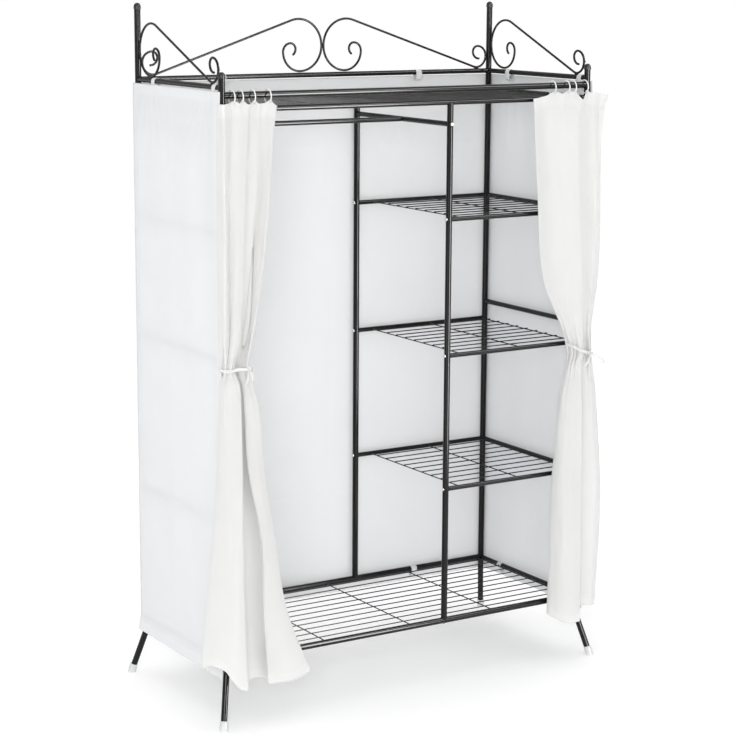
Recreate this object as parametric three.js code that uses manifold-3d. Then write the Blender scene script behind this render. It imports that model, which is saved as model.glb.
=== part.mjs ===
// A portable fabric wardrobe: a black tube frame with wire shelves, a clothes rod and scrolled crown,
// covered on the back and both sides with white cloth and closed in front by two curtains on rings.
// Millimetres, +Z up. The origin is on the floor, midway between the four corner posts.
// -Y is the open front and +X is on the right of someone who stands before it.

import * as THREE from 'three';
import { mergeVertices } from 'three/addons/utils/BufferGeometryUtils.js';
import Module from 'manifold-3d';

const wasm = await Module();
wasm.setup();

// Frame, between the centres of its tubes
const frameWidth = 1064;
const frameDepth = 440;
const dividerX = 107;

// Heights above the floor, to the centres of the tubes
const bottomLevel = 162;
const lowerShelfLevel = 512;
const middleShelfLevel = 859;
const middleRungLevel = 907;
const upperShelfLevel = 1206;
const hangingLevel = 1443;
const topShelfLevel = 1497;
const curtainRailLevel = 1530;
const crownLevel = 1548;

// Heights of the tops of the post caps
const frontPostTop = 1584;
const backPostTop = 1735;

// Tubes, rods and wires
const postDiameter = 16;
const railDiameter = 16;
const rungDiameter = 13;
const shelfTubeDiameter = 12;
const scrollDiameter = 6;
const wireDiameter = 3;
const tubeWall = 0.8;

// How far apart two pieces stay where they touch, and how far a cut runs past what it cuts
const touchGap = 0.3;
const overrun = 6;

// Legs: the posts bend outwards below the bottom rails
const legBendLevel = 140;
const legSpreadX = 28;
const legSpreadY = 37;
const legBendRadius = 60;
const legEndHeight = 8;

// Foot caps and post caps
const footDiameter = 21;
const footHeight = 25;
const capDiameter = 19;
const capHeight = 15;
const capSkirt = 6;
const capBoreDepth = 9;

// Wire shelves
const smallShelfWires = 9;
const wideShelfWires = 11;
const wireOverlap = 0.4;
const weldDepth = 0.75;
const anchorWires = 5;
const smallCrossShares = [0.11, 0.55, 0.965];
const wideCrossShares = [0.03, 0.27, 0.51, 0.75, 0.985];

// Scrolls: the radii of the quarter turns, from the outer turn to the eye
const backCurlRadii = [69, 65, 50, 22, 15];
const sideCurlRadii = [66, 62, 47, 21, 14];
const bigCurlEye = 18;
const bigCurlEyeTurn = 55;
const smallCurlRadii = [30, 27, 15];
const smallCurlEye = 19;
const smallCurlEyeTurn = 95;
const sideCurlGap = 4;

// Cloth panels of the back and the sides
const panelThickness = 1.5;
const panelStandOff = 1;
const panelTop = 1532;
const panelHem = 125;
const panelFlareLevel = 165;
const panelFlare = 8;
const loopWidth = 18;
const loopHeight = 20;
const sideLoopShares = [-0.443, 0.275];
const backLoopShares = [-0.28, 0.28];
const seamGap = 0.5;

// Curtain rings
const ringDiameter = 36;
const ringWire = 3;
const ringTilt = 50;
const ringFoldShares = [0.3, 0.5, 0.7, 0.9];

// Curtains: widths are measured along the rail, depths from back to front
const curtainTop = 1523;
const curtainHem = 95;
const curtainSpread = 300;
const curtainBack = 14;
const curtainThickness = 3;
const curtainFolds = 5;
const eyeletDiameter = 10.6;

// Ties
const tieWidth = 14;
const tieThickness = 1.2;
const tieCorner = 10;
const tieDepth = 20;
const tieKnot = 7;
const tieTailLength = 62;
const tieTailWidth = 10;

// Bolts
const boltDiameter = 4;
const boltHeadDiameter = 9;
const boltHeadHeight = 3;
const boltLength = 27;
const boltHoleDiameter = 5;

// Facets of the round pieces
const tubeSides = 12;
const rungSides = 8;
const wireSides = 6;
const scrollSides = 6;
const smallSides = 6;
const ringSides = 12;
const ringWireSides = 6;
const bendSteps = 4;
const loopSteps = 4;
const tieSides = 8;
const turnStep = 23;

const halfWidth = frameWidth / 2;
const halfDepth = frameDepth / 2;
const postRadius = postDiameter / 2;
const railRadius = railDiameter / 2;
const rungRadius = rungDiameter / 2;
const shelfTubeRadius = shelfTubeDiameter / 2;
const wireRadius = wireDiameter / 2;

const blackSteel = { color: 0x1c1a1b, roughness: 0.32, metalness: 0.55 };
const brightSteel = { color: 0xd8d9da, roughness: 0.25, metalness: 0.9 };
const clearPlastic = { color: 0xd4d6d8, roughness: 0.35, metalness: 0 };
const whitePlastic = { color: 0xf2f2f0, roughness: 0.4, metalness: 0 };
const whiteCloth = { color: 0xeff0ef, roughness: 0.9, metalness: 0 };
const whiteRibbon = { color: 0xf6f6f5, roughness: 0.7, metalness: 0 };

const wardrobe = new THREE.Group();

// Adds a geometry to the wardrobe as a named piece.
function addPiece(name, geometry, look) {
  const mesh = new THREE.Mesh(geometry, new THREE.MeshStandardMaterial(look));
  mesh.name = name;
  wardrobe.add(mesh);
  return mesh;
}

const at = (x, y, z) => new THREE.Vector3(x, y, z);
const radians = (degrees) => THREE.MathUtils.degToRad(degrees);
const shared = (low, high, share) => low + (high - low) * share;

// Turns a closed geometry into a solid: its shared corners are merged, slivers that merge away are
// dropped, and a shape wound inside out is turned round.
function solidOf(geometry) {
  const bare = geometry.clone();
  bare.deleteAttribute('normal');
  bare.deleteAttribute('uv');
  const merged = mergeVertices(bare);
  const corners = merged.attributes.position;
  const faces = [];
  let sixVolumes = 0;
  const [a, b, c] = [at(0, 0, 0), at(0, 0, 0), at(0, 0, 0)];
  for (let face = 0; face < merged.index.count; face += 3) {
    const [i, j, k] = [0, 1, 2].map((corner) => merged.index.getX(face + corner));
    if (i === j || j === k || k === i) continue;
    faces.push([i, j, k]);
    a.fromBufferAttribute(corners, i);
    b.fromBufferAttribute(corners, j);
    c.fromBufferAttribute(corners, k);
    sixVolumes += a.dot(b.cross(c));
  }
  const outward = sixVolumes < 0 ? faces.map(([i, j, k]) => [i, k, j]) : faces;
  return new wasm.Manifold(new wasm.Mesh({
    numProp: 3,
    vertProperties: new Float32Array(corners.array),
    triVerts: new Uint32Array(outward.flat()),
  }));
}

// Turns a solid back into a geometry.
function geometryOf(solid) {
  const mesh = solid.getMesh();
  const geometry = new THREE.BufferGeometry();
  geometry.setAttribute('position', new THREE.BufferAttribute(new Float32Array(mesh.vertProperties), 3));
  geometry.setIndex(new THREE.BufferAttribute(new Uint32Array(mesh.triVerts), 1));
  geometry.computeVertexNormals();
  return geometry;
}

const joined = (solids) => solids.reduce((whole, solid) => whole.add(solid));
const cutBy = (solid, cutters) => cutters.reduce((rest, cutter) => rest.subtract(cutter), solid);

// A solid round bar between two points.
function roundBar(from, to, radius, sides = tubeSides) {
  const run = to.clone().sub(from);
  const geometry = new THREE.CylinderGeometry(radius, radius, run.length(), sides);
  geometry.applyQuaternion(new THREE.Quaternion().setFromUnitVectors(at(0, 1, 0), run.normalize()));
  const middle = from.clone().lerp(to, 0.5);
  return solidOf(geometry.translate(middle.x, middle.y, middle.z));
}

// A tube between two points, open at both ends.
function tube(from, to, radius, sides = rungSides) {
  const past = to.clone().sub(from).setLength(overrun);
  const bore = roundBar(from.clone().sub(past), to.clone().add(past), radius - tubeWall, sides);
  return roundBar(from, to, radius, sides).subtract(bore);
}

// The room that a round bar takes, with the touching gap all round whatever way its facets lie.
const roomRadius = (radius, sides = tubeSides) => (radius + touchGap) / Math.cos(Math.PI / sides);

function roomFor(from, to, radius) {
  const past = to.clone().sub(from).setLength(overrun);
  return roundBar(from.clone().sub(past), to.clone().add(past), roomRadius(radius));
}

const postRoom = (x, y) => (
  roomFor(at(x, y, bottomLevel - postDiameter), at(x, y, crownLevel + postDiameter), postRadius)
);
const railRoom = (y, z, radius) => roomFor(at(-halfWidth, y, z), at(halfWidth, y, z), radius);

// A path through given stations, for sweeping a section along straights and bends.
class StationPath extends THREE.Curve {
  constructor(stations) {
    super();
    this.stations = stations;
  }

  getSpacedPoints() {
    return this.stations;
  }

  getTangentAt(share, target = at(0, 0, 0)) {
    const last = this.stations.length - 1;
    const here = Math.round(share * last);
    const before = this.stations[Math.max(here - 1, 0)];
    const after = this.stations[Math.min(here + 1, last)];
    return target.subVectors(after, before).normalize();
  }
}

// The corners of a regular outline.
function roundOutline(radius, sides) {
  return Array.from({ length: sides }, (_, corner) => {
    const angle = (2 * Math.PI * corner) / sides;
    return new THREE.Vector2(radius * Math.cos(angle), radius * Math.sin(angle));
  });
}

// Sweeps an outline along stations.
function sweep(outline, stations) {
  const extrudePath = new StationPath(stations);
  return new THREE.ExtrudeGeometry(outline, { steps: stations.length - 1, extrudePath, curveSegments: 1 });
}

// A corner post: an upright tube whose leg bends outwards below the bottom rail.
const legFoot = (sideX, sideY) => at(sideX * (halfWidth + legSpreadX), sideY * (halfDepth + legSpreadY), 0);
const legBend = (sideX, sideY) => at(sideX * halfWidth, sideY * halfDepth, legBendLevel);
const onLeg = (sideX, sideY, height) => legFoot(sideX, sideY).lerp(legBend(sideX, sideY), height / legBendLevel);

function cornerPost(sideX, sideY, capTop) {
  const corner = legBend(sideX, sideY);
  const legRun = corner.clone().sub(legFoot(sideX, sideY)).normalize();
  const bendAngle = legRun.angleTo(at(0, 0, 1));
  const run = legBendRadius * Math.tan(bendAngle / 2);
  const bendStart = corner.clone().addScaledVector(legRun, -run);
  const bendEnd = corner.clone().setZ(legBendLevel + run);
  const bend = new THREE.QuadraticBezierCurve3(bendStart, corner, bendEnd).getPoints(bendSteps);
  const top = corner.clone().setZ(capTop - capHeight + capBoreDepth - touchGap);
  const section = new THREE.Shape(roundOutline(postRadius, tubeSides));
  section.holes.push(new THREE.Path(roundOutline(postRadius - tubeWall, tubeSides)));
  return sweep(section, [onLeg(sideX, sideY, legEndHeight), ...bend, top]);
}

// A rounded cap whose skirt slips over the top of a post.
function postCap(x, y, capTop) {
  const radius = capDiameter / 2;
  const boreRadius = roomRadius(postRadius);
  const dome = Array.from({ length: bendSteps }, (_, step) => {
    const angle = (Math.PI / 2) * (step / bendSteps);
    const rise = (capHeight - capSkirt) * Math.sin(angle);
    return new THREE.Vector2(radius * Math.cos(angle), capSkirt + rise);
  });
  const profile = [
    new THREE.Vector2(0, capBoreDepth),
    new THREE.Vector2(boreRadius, capBoreDepth),
    new THREE.Vector2(boreRadius, 0),
    new THREE.Vector2(radius, 0),
    ...dome,
    new THREE.Vector2(0, capHeight),
  ];
  const cap = new THREE.LatheGeometry(profile, tubeSides).rotateX(Math.PI / 2);
  return geometryOf(solidOf(cap.translate(x, y, capTop - capHeight)));
}

// A foot cap along the leg, cut flat on the floor and bored for the tube.
function footCap(sideX, sideY) {
  const on = (height) => onLeg(sideX, sideY, height);
  const outer = roundBar(on(-footHeight), on(footHeight), footDiameter / 2);
  const bore = roundBar(on(legEndHeight - touchGap), on(footHeight + overrun), roomRadius(postRadius));
  const floorSize = footHeight * 4;
  const below = new THREE.BoxGeometry(floorSize, floorSize, floorSize);
  const foot = legFoot(sideX, sideY);
  const floor = solidOf(below.translate(foot.x, foot.y, -floorSize / 2));
  return geometryOf(cutBy(outer, [floor, bore]));
}

// A rung from the front post to the back post of one side, its ends hollowed to the posts. Its reach
// keeps it off the rails that meet the same posts.
function sideRung(x, level, railRadiusBeside, frontY = -halfDepth, backY = halfDepth) {
  const reach = railRadiusBeside + touchGap;
  const bar = tube(at(x, frontY + reach, level), at(x, backY - reach, level), rungRadius);
  return cutBy(bar, [postRoom(x, frontY), postRoom(x, backY)]);
}

// A rail from left to right between two upright tubes, its ends hollowed to them.
function wideRail(leftX, rightX, y, level, radius, sides = rungSides) {
  const reach = postRadius / 2;
  const bar = tube(at(leftX + reach, y, level), at(rightX - reach, y, level), radius, sides);
  return cutBy(bar, [postRoom(leftX, y), postRoom(rightX, y)]);
}

// A welded grid: front and back rails, cross wires between them and long wires laid over those.
function wireShelf(leftX, rightX, level, tubeRadius, crossShares, wireCount, endsOf) {
  const rails = [-halfDepth, halfDepth].map((y) => wideRail(leftX, rightX, y, level, tubeRadius));
  const crossLevel = level + wireRadius / 2;
  const longLevel = crossLevel + wireDiameter - wireOverlap;
  const weld = halfDepth - tubeRadius + weldDepth;
  const crosses = crossShares.map((share) => {
    const x = shared(leftX, rightX, share);
    return roundBar(at(x, -weld, crossLevel), at(x, weld, crossLevel), wireRadius, wireSides);
  });
  const wires = Array.from({ length: wireCount }, (_, wire) => {
    const y = shared(-halfDepth, halfDepth, (wire + 1) / (wireCount + 1));
    const [fromX, toX] = endsOf(wire);
    return roundBar(at(fromX, y, longLevel), at(toX, y, longLevel), wireRadius, wireSides);
  });
  return joined([...rails, ...crosses, ...wires]);
}

// Where the long wires of a shelf end: just past its first and last cross wire.
function wireEndsFor(leftX, rightX, crossShares) {
  const first = shared(leftX, rightX, crossShares[0]);
  const last = shared(leftX, rightX, crossShares[crossShares.length - 1]);
  return [first - wireDiameter, last + wireDiameter];
}

// Points of one left-hand turn in a plane: from a place and a heading, round a given angle.
function turnPoints(place, heading, radius, angle) {
  const centre = [place[0] - radius * Math.sin(heading), place[1] + radius * Math.cos(heading)];
  const steps = Math.ceil(angle / radians(turnStep));
  return Array.from({ length: steps }, (_, step) => {
    const turned = heading + (angle * (step + 1)) / steps;
    return [centre[0] + radius * Math.sin(turned), centre[1] - radius * Math.cos(turned)];
  });
}

// A curl: quarter turns of given radii, one after the other, and then the eye.
function curlPoints(start, heading, radii, eye, eyeTurn) {
  const points = [start];
  let direction = heading;
  for (const radius of radii) {
    points.push(...turnPoints(points[points.length - 1], direction, radius, Math.PI / 2));
    direction += Math.PI / 2;
  }
  points.push(...turnPoints(points[points.length - 1], direction, eye, radians(eyeTurn)));
  return points;
}

// One crown scroll, bent from a single rod in an upright plane. It starts in the eye of the big curl,
// runs down a straight that touches both outer turns, and ends in the eye of the small curl.
// The first coordinate runs along the rail from the big curl and the second is the height above it.
function scrollPoints(span, bigRadii) {
  const [bigTurn, bigRise] = bigRadii;
  const [smallTurn] = smallCurlRadii;
  const centreRun = span - smallTurn - bigTurn;
  const centreFall = bigRise - smallTurn;
  const apart = Math.hypot(centreRun, centreFall);
  const slope = Math.atan2(centreFall, centreRun) + Math.asin((bigTurn + smallTurn) / apart);
  const bigTop = [bigTurn, bigRise + bigTurn];
  const bigCurl = curlPoints(bigTop, Math.PI, bigRadii, bigCurlEye, bigCurlEyeTurn).reverse();
  const leave = [bigTurn + bigTurn * Math.sin(slope), bigRise + bigTurn * Math.cos(slope)];
  const meet = [span - smallTurn - smallTurn * Math.sin(slope), smallTurn - smallTurn * Math.cos(slope)];
  const halfSlope = slope / 2;
  const shoulder = [bigTurn + bigTurn * Math.sin(halfSlope), bigRise + bigTurn * Math.cos(halfSlope)];
  const smallBottom = [span - smallTurn, 0];
  const smallCurl = curlPoints(smallBottom, 0, smallCurlRadii, smallCurlEye, smallCurlEyeTurn);
  return [...bigCurl, shoulder, leave, meet, ...smallCurl];
}

// A scroll placed by a function that maps its two coordinates into the frame.
function scroll(span, bigRadii, place) {
  const stations = scrollPoints(span, bigRadii).map(([run, rise]) => place(run, rise));
  return sweep(new THREE.Shape(roundOutline(scrollDiameter / 2, scrollSides)), stations);
}

// A strap loop round a rail, as a closed band: the rail's top carries it and its outer leg lies in
// the panel. The first coordinate is measured outwards from the rail's centre.
function strapLoop(railLevel, carriedRadius, along) {
  const half = postRadius + panelStandOff;
  const top = railLevel + carriedRadius + touchGap - half;
  const bandOutline = (grow) => {
    const radius = half + grow;
    const arc = (level, from) => Array.from({ length: loopSteps + 1 }, (_, step) => {
      const angle = from + (Math.PI * step) / loopSteps;
      return new THREE.Vector2(radius * Math.cos(angle), level + radius * Math.sin(angle));
    });
    return [...arc(top, 0), ...arc(top - loopHeight + half, Math.PI)];
  };
  const band = new THREE.Shape(bandOutline(panelThickness));
  band.holes.push(new THREE.Path(bandOutline(0)));
  const strap = new THREE.ExtrudeGeometry(band, { depth: loopWidth, bevelEnabled: false, curveSegments: 1 });
  return solidOf(strap.rotateX(Math.PI / 2).translate(0, along + loopWidth / 2, 0));
}

// A cloth panel that hangs outside a rail by its loops. It is drawn for a rail along Y with the
// outside towards +X, and flares at the hem to pass outside the spread legs.
function clothPanel(railOffset, fromY, toY, loops, bottomRadius) {
  const inner = postRadius + panelStandOff;
  const outline = new THREE.Shape([
    new THREE.Vector2(inner, panelTop),
    new THREE.Vector2(inner, panelFlareLevel),
    new THREE.Vector2(inner + panelFlare, panelHem),
    new THREE.Vector2(inner + panelFlare + panelThickness, panelHem),
    new THREE.Vector2(inner + panelThickness, panelFlareLevel),
    new THREE.Vector2(inner + panelThickness, panelTop),
  ]);
  const sheet = new THREE.ExtrudeGeometry(outline, { depth: toY - fromY, bevelEnabled: false });
  const panel = solidOf(sheet.rotateX(Math.PI / 2).translate(0, toY, 0));
  const straps = loops.flatMap((along) => [
    strapLoop(crownLevel, rungRadius, along),
    strapLoop(bottomLevel, bottomRadius, along),
  ]);
  return geometryOf(joined([panel, ...straps])).translate(railOffset, 0, 0);
}

// A smooth line through a table of values given at rising shares.
function throughTable(shares, values, share) {
  const last = shares.length - 1;
  const upper = shares.findIndex((knot, index) => index > 0 && (share <= knot || index === last));
  const lower = upper - 1;
  const slopeAt = (knot) => {
    const [before, after] = [Math.max(knot - 1, 0), Math.min(knot + 1, last)];
    return (values[after] - values[before]) / (shares[after] - shares[before]);
  };
  const width = shares[upper] - shares[lower];
  const t = (share - shares[lower]) / width;
  const fromLower = (1 + 2 * t) * (1 - t) ** 2 * values[lower] + t * (1 - t) ** 2 * width * slopeAt(lower);
  return fromLower + t * t * (3 - 2 * t) * values[upper] + t * t * (t - 1) * width * slopeAt(upper);
}

// The shape of each tied-back curtain. Drop shares run from the top edge to the hem, edge shares are
// of the curtain's spread and are measured from the post's centre, outwards and inwards, depth shares
// are of the spread too, and hem shares are how far the hem is drawn up, from the outer edge inwards.
// Width shares place the rings and the edges across the cloth.
const leftDrape = {
  side: -1,
  tiedShare: 0.444,
  widthShares: [0, 0.12, 0.35, 0.48, 0.67, 0.92, 1],
  dropShares: [0, 0.163, 0.328, 0.444, 0.531, 0.667, 0.845, 1],
  outerShares: [0.117, 0.05, 0.06, 0.055, 0.05, 0.125, 0.187, 0.22],
  innerShares: [0.443, 0.35, 0.23, 0.147, 0.25, 0.4, 0.59, 0.733],
  depthShares: [0.045, 0.08, 0.095, 0.07, 0.1, 0.12, 0.135, 0.14],
  hemShares: [0.038, 0.038, 0.036, 0.002, 0, 0.002, 0.004, 0.005, 0.004],
};
const rightDrape = {
  side: 1,
  tiedShare: 0.479,
  widthShares: [0, 0.09, 0.235, 0.4, 0.49, 0.68, 1],
  dropShares: [0, 0.195, 0.341, 0.436, 0.471, 0.565, 0.714, 0.884, 1],
  outerShares: [0.14, 0.13, 0.11, 0.055, 0.045, 0.067, 0.143, 0.183, 0.17],
  innerShares: [0.632, 0.573, 0.447, 0.283, 0.227, 0.33, 0.4, 0.403, 0.403],
  depthShares: [0.045, 0.08, 0.1, 0.08, 0.07, 0.1, 0.12, 0.135, 0.14],
  hemShares: [0.036, 0.036, 0.034, 0.018, 0.004, 0.01, 0.02, 0.03, 0.038],
};
const rowShares = [0, 0.08, 0.2, 0.32, 0.41, 0.444, 0.479, 0.52, 0.6, 0.72, 0.86, 1];
const evenShares = Array.from({ length: leftDrape.hemShares.length }, (_, knot) => (
  knot / (leftDrape.hemShares.length - 1)
));
const widthKnots = [0, 0.1, 0.3, 0.5, 0.7, 0.9, 1];
const columnsPerFold = 6;

// How deep a fold stands at a share of the curtain's width: 0 at the rings and 1 midway between them.
const foldAt = (share) => (1 + Math.cos(2 * Math.PI * curtainFolds * share)) / 2;

// A point on the middle of the cloth, from the share across its width and the share of its drop.
function drapePoint(drape, across, down) {
  const outer = throughTable(drape.dropShares, drape.outerShares, down) * curtainSpread;
  const inner = throughTable(drape.dropShares, drape.innerShares, down) * curtainSpread;
  const depth = throughTable(drape.dropShares, drape.depthShares, down) * curtainSpread;
  const drop = curtainTop - curtainHem;
  const width = throughTable(widthKnots, drape.widthShares, across);
  const drawnUp = throughTable(evenShares, drape.hemShares, width) * drop * down ** 4;
  const x = drape.side * (halfWidth + shared(outer, -inner, width));
  const y = -halfDepth - curtainBack - curtainThickness / 2 - depth * foldAt(across);
  return at(x, y, curtainTop - drop * down + drawnUp);
}

// A curtain: a front and a back skin over the same grid of points, joined round the edges, with an
// eyelet for each ring.
function curtain(drape, rings) {
  const columns = curtainFolds * columnsPerFold;
  const rows = rowShares.length - 1;
  const corners = [];
  for (const skin of [-1, 1]) {
    for (const down of rowShares) {
      for (let column = 0; column <= columns; column += 1) {
        const point = drapePoint(drape, column / columns, down);
        corners.push(point.x, point.y + (skin * curtainThickness) / 2, point.z);
      }
    }
  }
  const corner = (skin, row, column) => (skin * (rows + 1) + row) * (columns + 1) + column;
  const faces = [];
  const quad = (a, b, c, d) => faces.push(a, b, c, a, c, d);
  for (let row = 0; row < rows; row += 1) {
    for (let column = 0; column < columns; column += 1) {
      quad(corner(0, row, column), corner(0, row + 1, column), corner(0, row + 1, column + 1), corner(0, row, column + 1));
      quad(corner(1, row, column), corner(1, row, column + 1), corner(1, row + 1, column + 1), corner(1, row + 1, column));
    }
    quad(corner(0, row, 0), corner(1, row, 0), corner(1, row + 1, 0), corner(0, row + 1, 0));
    quad(corner(0, row, columns), corner(0, row + 1, columns), corner(1, row + 1, columns), corner(1, row, columns));
  }
  for (let column = 0; column < columns; column += 1) {
    quad(corner(0, 0, column), corner(0, 0, column + 1), corner(1, 0, column + 1), corner(1, 0, column));
    quad(corner(0, rows, column), corner(1, rows, column), corner(1, rows, column + 1), corner(0, rows, column + 1));
  }
  const cloth = new THREE.BufferGeometry();
  cloth.setAttribute('position', new THREE.BufferAttribute(new Float32Array(corners), 3));
  cloth.setIndex(faces);
  const eyelets = rings.map((ring) => {
    const clothY = -halfDepth - curtainBack - curtainThickness;
    const z = ring.z - Math.sqrt(ringRadius ** 2 - (clothY - ring.y) ** 2);
    return roundBar(at(ring.x, clothY - overrun, z), at(ring.x, clothY + overrun, z), eyeletDiameter / 2, smallSides);
  });
  return geometryOf(cutBy(solidOf(cloth), eyelets));
}

// The rings hang on the rail, drawn forwards by the cloth, with the touching gap at the rail's top.
const ringRadius = (ringDiameter - ringWire) / 2;
function ringPlace(drape, share) {
  const flat = ringRadius * Math.cos(Math.PI / ringSides) - ringWire / 2;
  const hang = flat - railRadius - touchGap;
  const tilt = radians(ringTilt);
  const x = drapePoint(drape, share, 0).x;
  return at(x, -halfDepth - hang * Math.sin(tilt), curtainRailLevel - hang * Math.cos(tilt));
}

// The smallest outline that holds every given circle.
function hullRound(circles, grow) {
  const points = circles.flatMap(({ x, y, radius }) => (
    roundOutline(radius + grow, tieSides).map((corner) => corner.add(new THREE.Vector2(x, y)))
  ));
  points.sort((p, q) => p.x - q.x || p.y - q.y);
  const turn = (o, p, q) => (p.x - o.x) * (q.y - o.y) - (p.y - o.y) * (q.x - o.x);
  const chain = (list) => {
    const kept = [];
    for (const point of list) {
      while (kept.length > 1 && turn(kept[kept.length - 2], kept[kept.length - 1], point) <= 0) kept.pop();
      kept.push(point);
    }
    return kept.slice(0, -1);
  };
  return [...chain(points), ...chain([...points].reverse())];
}

// A tie: a ribbon round the gathered curtain and its post, with a knot in front and two short tails.
function tie(drape) {
  const outer = drapePoint(drape, 0, drape.tiedShare);
  const inner = drapePoint(drape, 1, drape.tiedShare);
  const level = outer.z;
  const nearY = -halfDepth - curtainBack - tieCorner / 2;
  const farY = nearY - tieDepth;
  const towardsMiddle = -drape.side;
  const outerX = outer.x + (towardsMiddle * tieCorner) / 2;
  const innerX = inner.x - (towardsMiddle * tieCorner) / 2;
  const circles = [
    { x: outerX, y: nearY, radius: tieCorner },
    { x: outerX, y: farY, radius: tieCorner },
    { x: innerX, y: nearY, radius: tieCorner },
    { x: innerX, y: farY, radius: tieCorner },
    { x: drape.side * halfWidth, y: -halfDepth, radius: roomRadius(postRadius, tieSides) },
  ];
  const outline = new THREE.Shape(hullRound(circles, tieThickness));
  outline.holes.push(new THREE.Path(hullRound(circles, 0)));
  const ribbon = new THREE.ExtrudeGeometry(outline, { depth: tieWidth, bevelEnabled: false, curveSegments: 1 });
  const band = solidOf(ribbon.translate(0, 0, level - tieWidth / 2));
  const knotY = farY - tieCorner - tieKnot / 2;
  const knot = solidOf(new THREE.SphereGeometry(tieKnot, smallSides, bendSteps).translate(innerX, knotY, level));
  const strip = new THREE.Shape([
    new THREE.Vector2(-tieThickness / 2, -tieTailWidth / 2),
    new THREE.Vector2(tieThickness / 2, -tieTailWidth / 2),
    new THREE.Vector2(tieThickness / 2, tieTailWidth / 2),
    new THREE.Vector2(-tieThickness / 2, tieTailWidth / 2),
  ]);
  const tails = tailLeanShares.map((lean) => {
    const stations = tailShares.map((share) => {
      const out = tieTailLength * share;
      return at(innerX + drape.side * lean * out, knotY - tieKnot * share * (1 - share), level - out * tailFallShare);
    });
    return solidOf(sweep(strip, stations));
  });
  return geometryOf(joined([band, knot, ...tails]));
}
const tailShares = [0, 0.3, 0.65, 1];
const tailLeanShares = [0.35, -0.45];
const tailFallShare = 0.9;

// A bolt with a low domed head, drawn along X with its head towards -X and the shank past the origin.
function bolt() {
  const radius = boltHeadDiameter / 2;
  const dome = Array.from({ length: bendSteps }, (_, step) => {
    const angle = (Math.PI / 2) * (1 - step / bendSteps);
    return new THREE.Vector2(radius * Math.cos(angle), boltHeadHeight * Math.sin(angle));
  });
  const profile = [
    ...dome,
    new THREE.Vector2(radius, 0),
    new THREE.Vector2(boltDiameter / 2, 0),
    new THREE.Vector2(boltDiameter / 2, -boltLength),
    new THREE.Vector2(0, -boltLength),
  ];
  return geometryOf(solidOf(new THREE.LatheGeometry(profile, smallSides).rotateZ(Math.PI / 2)));
}

// Corner posts with their caps and feet
const corners = [
  { name: 'front_left', sideX: -1, sideY: -1, capTop: frontPostTop },
  { name: 'front_right', sideX: 1, sideY: -1, capTop: frontPostTop },
  { name: 'back_left', sideX: -1, sideY: 1, capTop: backPostTop },
  { name: 'back_right', sideX: 1, sideY: 1, capTop: backPostTop },
];
for (const { name, sideX, sideY, capTop } of corners) {
  addPiece(`post_${name}`, cornerPost(sideX, sideY, capTop), blackSteel);
  addPiece(`post_cap_${name}`, postCap(sideX * halfWidth, sideY * halfDepth, capTop), blackSteel);
  addPiece(`foot_cap_${name}`, footCap(sideX, sideY), clearPlastic);
}

// Middle posts between the bottom rails and the top shelf, drilled for the bolts
const shelfLevels = { upper: upperShelfLevel, middle: middleShelfLevel, lower: lowerShelfLevel };
for (const [name, y] of [['front', -halfDepth], ['back', halfDepth]]) {
  const foot = at(dividerX, y, bottomLevel + railRadius / 2);
  const head = at(dividerX, y, topShelfLevel - rungRadius / 2);
  const reach = postRadius + overrun;
  const holes = Object.values(shelfLevels).map((z) => (
    roundBar(at(dividerX - reach, y, z), at(dividerX + reach, y, z), boltHoleDiameter / 2, smallSides)
  ));
  if (name === 'front') {
    const [from, to] = [at(dividerX, y - reach, hangingLevel), at(dividerX, y + reach, hangingLevel)];
    holes.push(roundBar(from, to, boltHoleDiameter / 2, smallSides));
  }
  const rooms = [railRoom(y, bottomLevel, railRadius), railRoom(y, topShelfLevel, rungRadius)];
  addPiece(`middle_post_${name}`, geometryOf(cutBy(tube(foot, head, postRadius, tubeSides), [...rooms, ...holes])), blackSteel);
}

// Side rungs, level with the rails that they meet at the posts
const rungs = [
  ['bottom', bottomLevel, railRadius],
  ['lower', lowerShelfLevel, shelfTubeRadius],
  ['middle', middleRungLevel, shelfTubeRadius],
  ['upper', upperShelfLevel, shelfTubeRadius],
];
for (const [side, x] of [['left', -halfWidth], ['right', halfWidth]]) {
  for (const [name, level, beside] of rungs) {
    addPiece(`rung_${side}_${name}`, geometryOf(sideRung(x, level, beside)), blackSteel);
  }
  addPiece(`crown_rail_${side}`, geometryOf(sideRung(x, crownLevel, rungRadius)), blackSteel);
}
addPiece('crown_rail_back', geometryOf(wideRail(-halfWidth, halfWidth, halfDepth, crownLevel, rungRadius)), blackSteel);

// Clothes rod, carried by a rung on the left and by the cross bar between the middle posts
addPiece('rod_rung_left', geometryOf(sideRung(-halfWidth, hangingLevel, shelfTubeRadius)), blackSteel);
addPiece('cross_bar', geometryOf(sideRung(dividerX, hangingLevel, shelfTubeRadius)), blackSteel);
const barRoom = (x) => roomFor(at(x, -halfDepth, hangingLevel), at(x, halfDepth, hangingLevel), rungRadius);
const rodReach = rungRadius / 2;
const rod = tube(at(-halfWidth + rodReach, 0, hangingLevel), at(dividerX - rodReach, 0, hangingLevel), rungRadius);
addPiece('clothes_rod', geometryOf(cutBy(rod, [barRoom(-halfWidth), barRoom(dividerX)])), blackSteel);

// Curtain rail between the front posts
const curtainRail = wideRail(-halfWidth, halfWidth, -halfDepth, curtainRailLevel, railRadius, tubeSides);
addPiece('curtain_rail', geometryOf(curtainRail), blackSteel);

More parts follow.
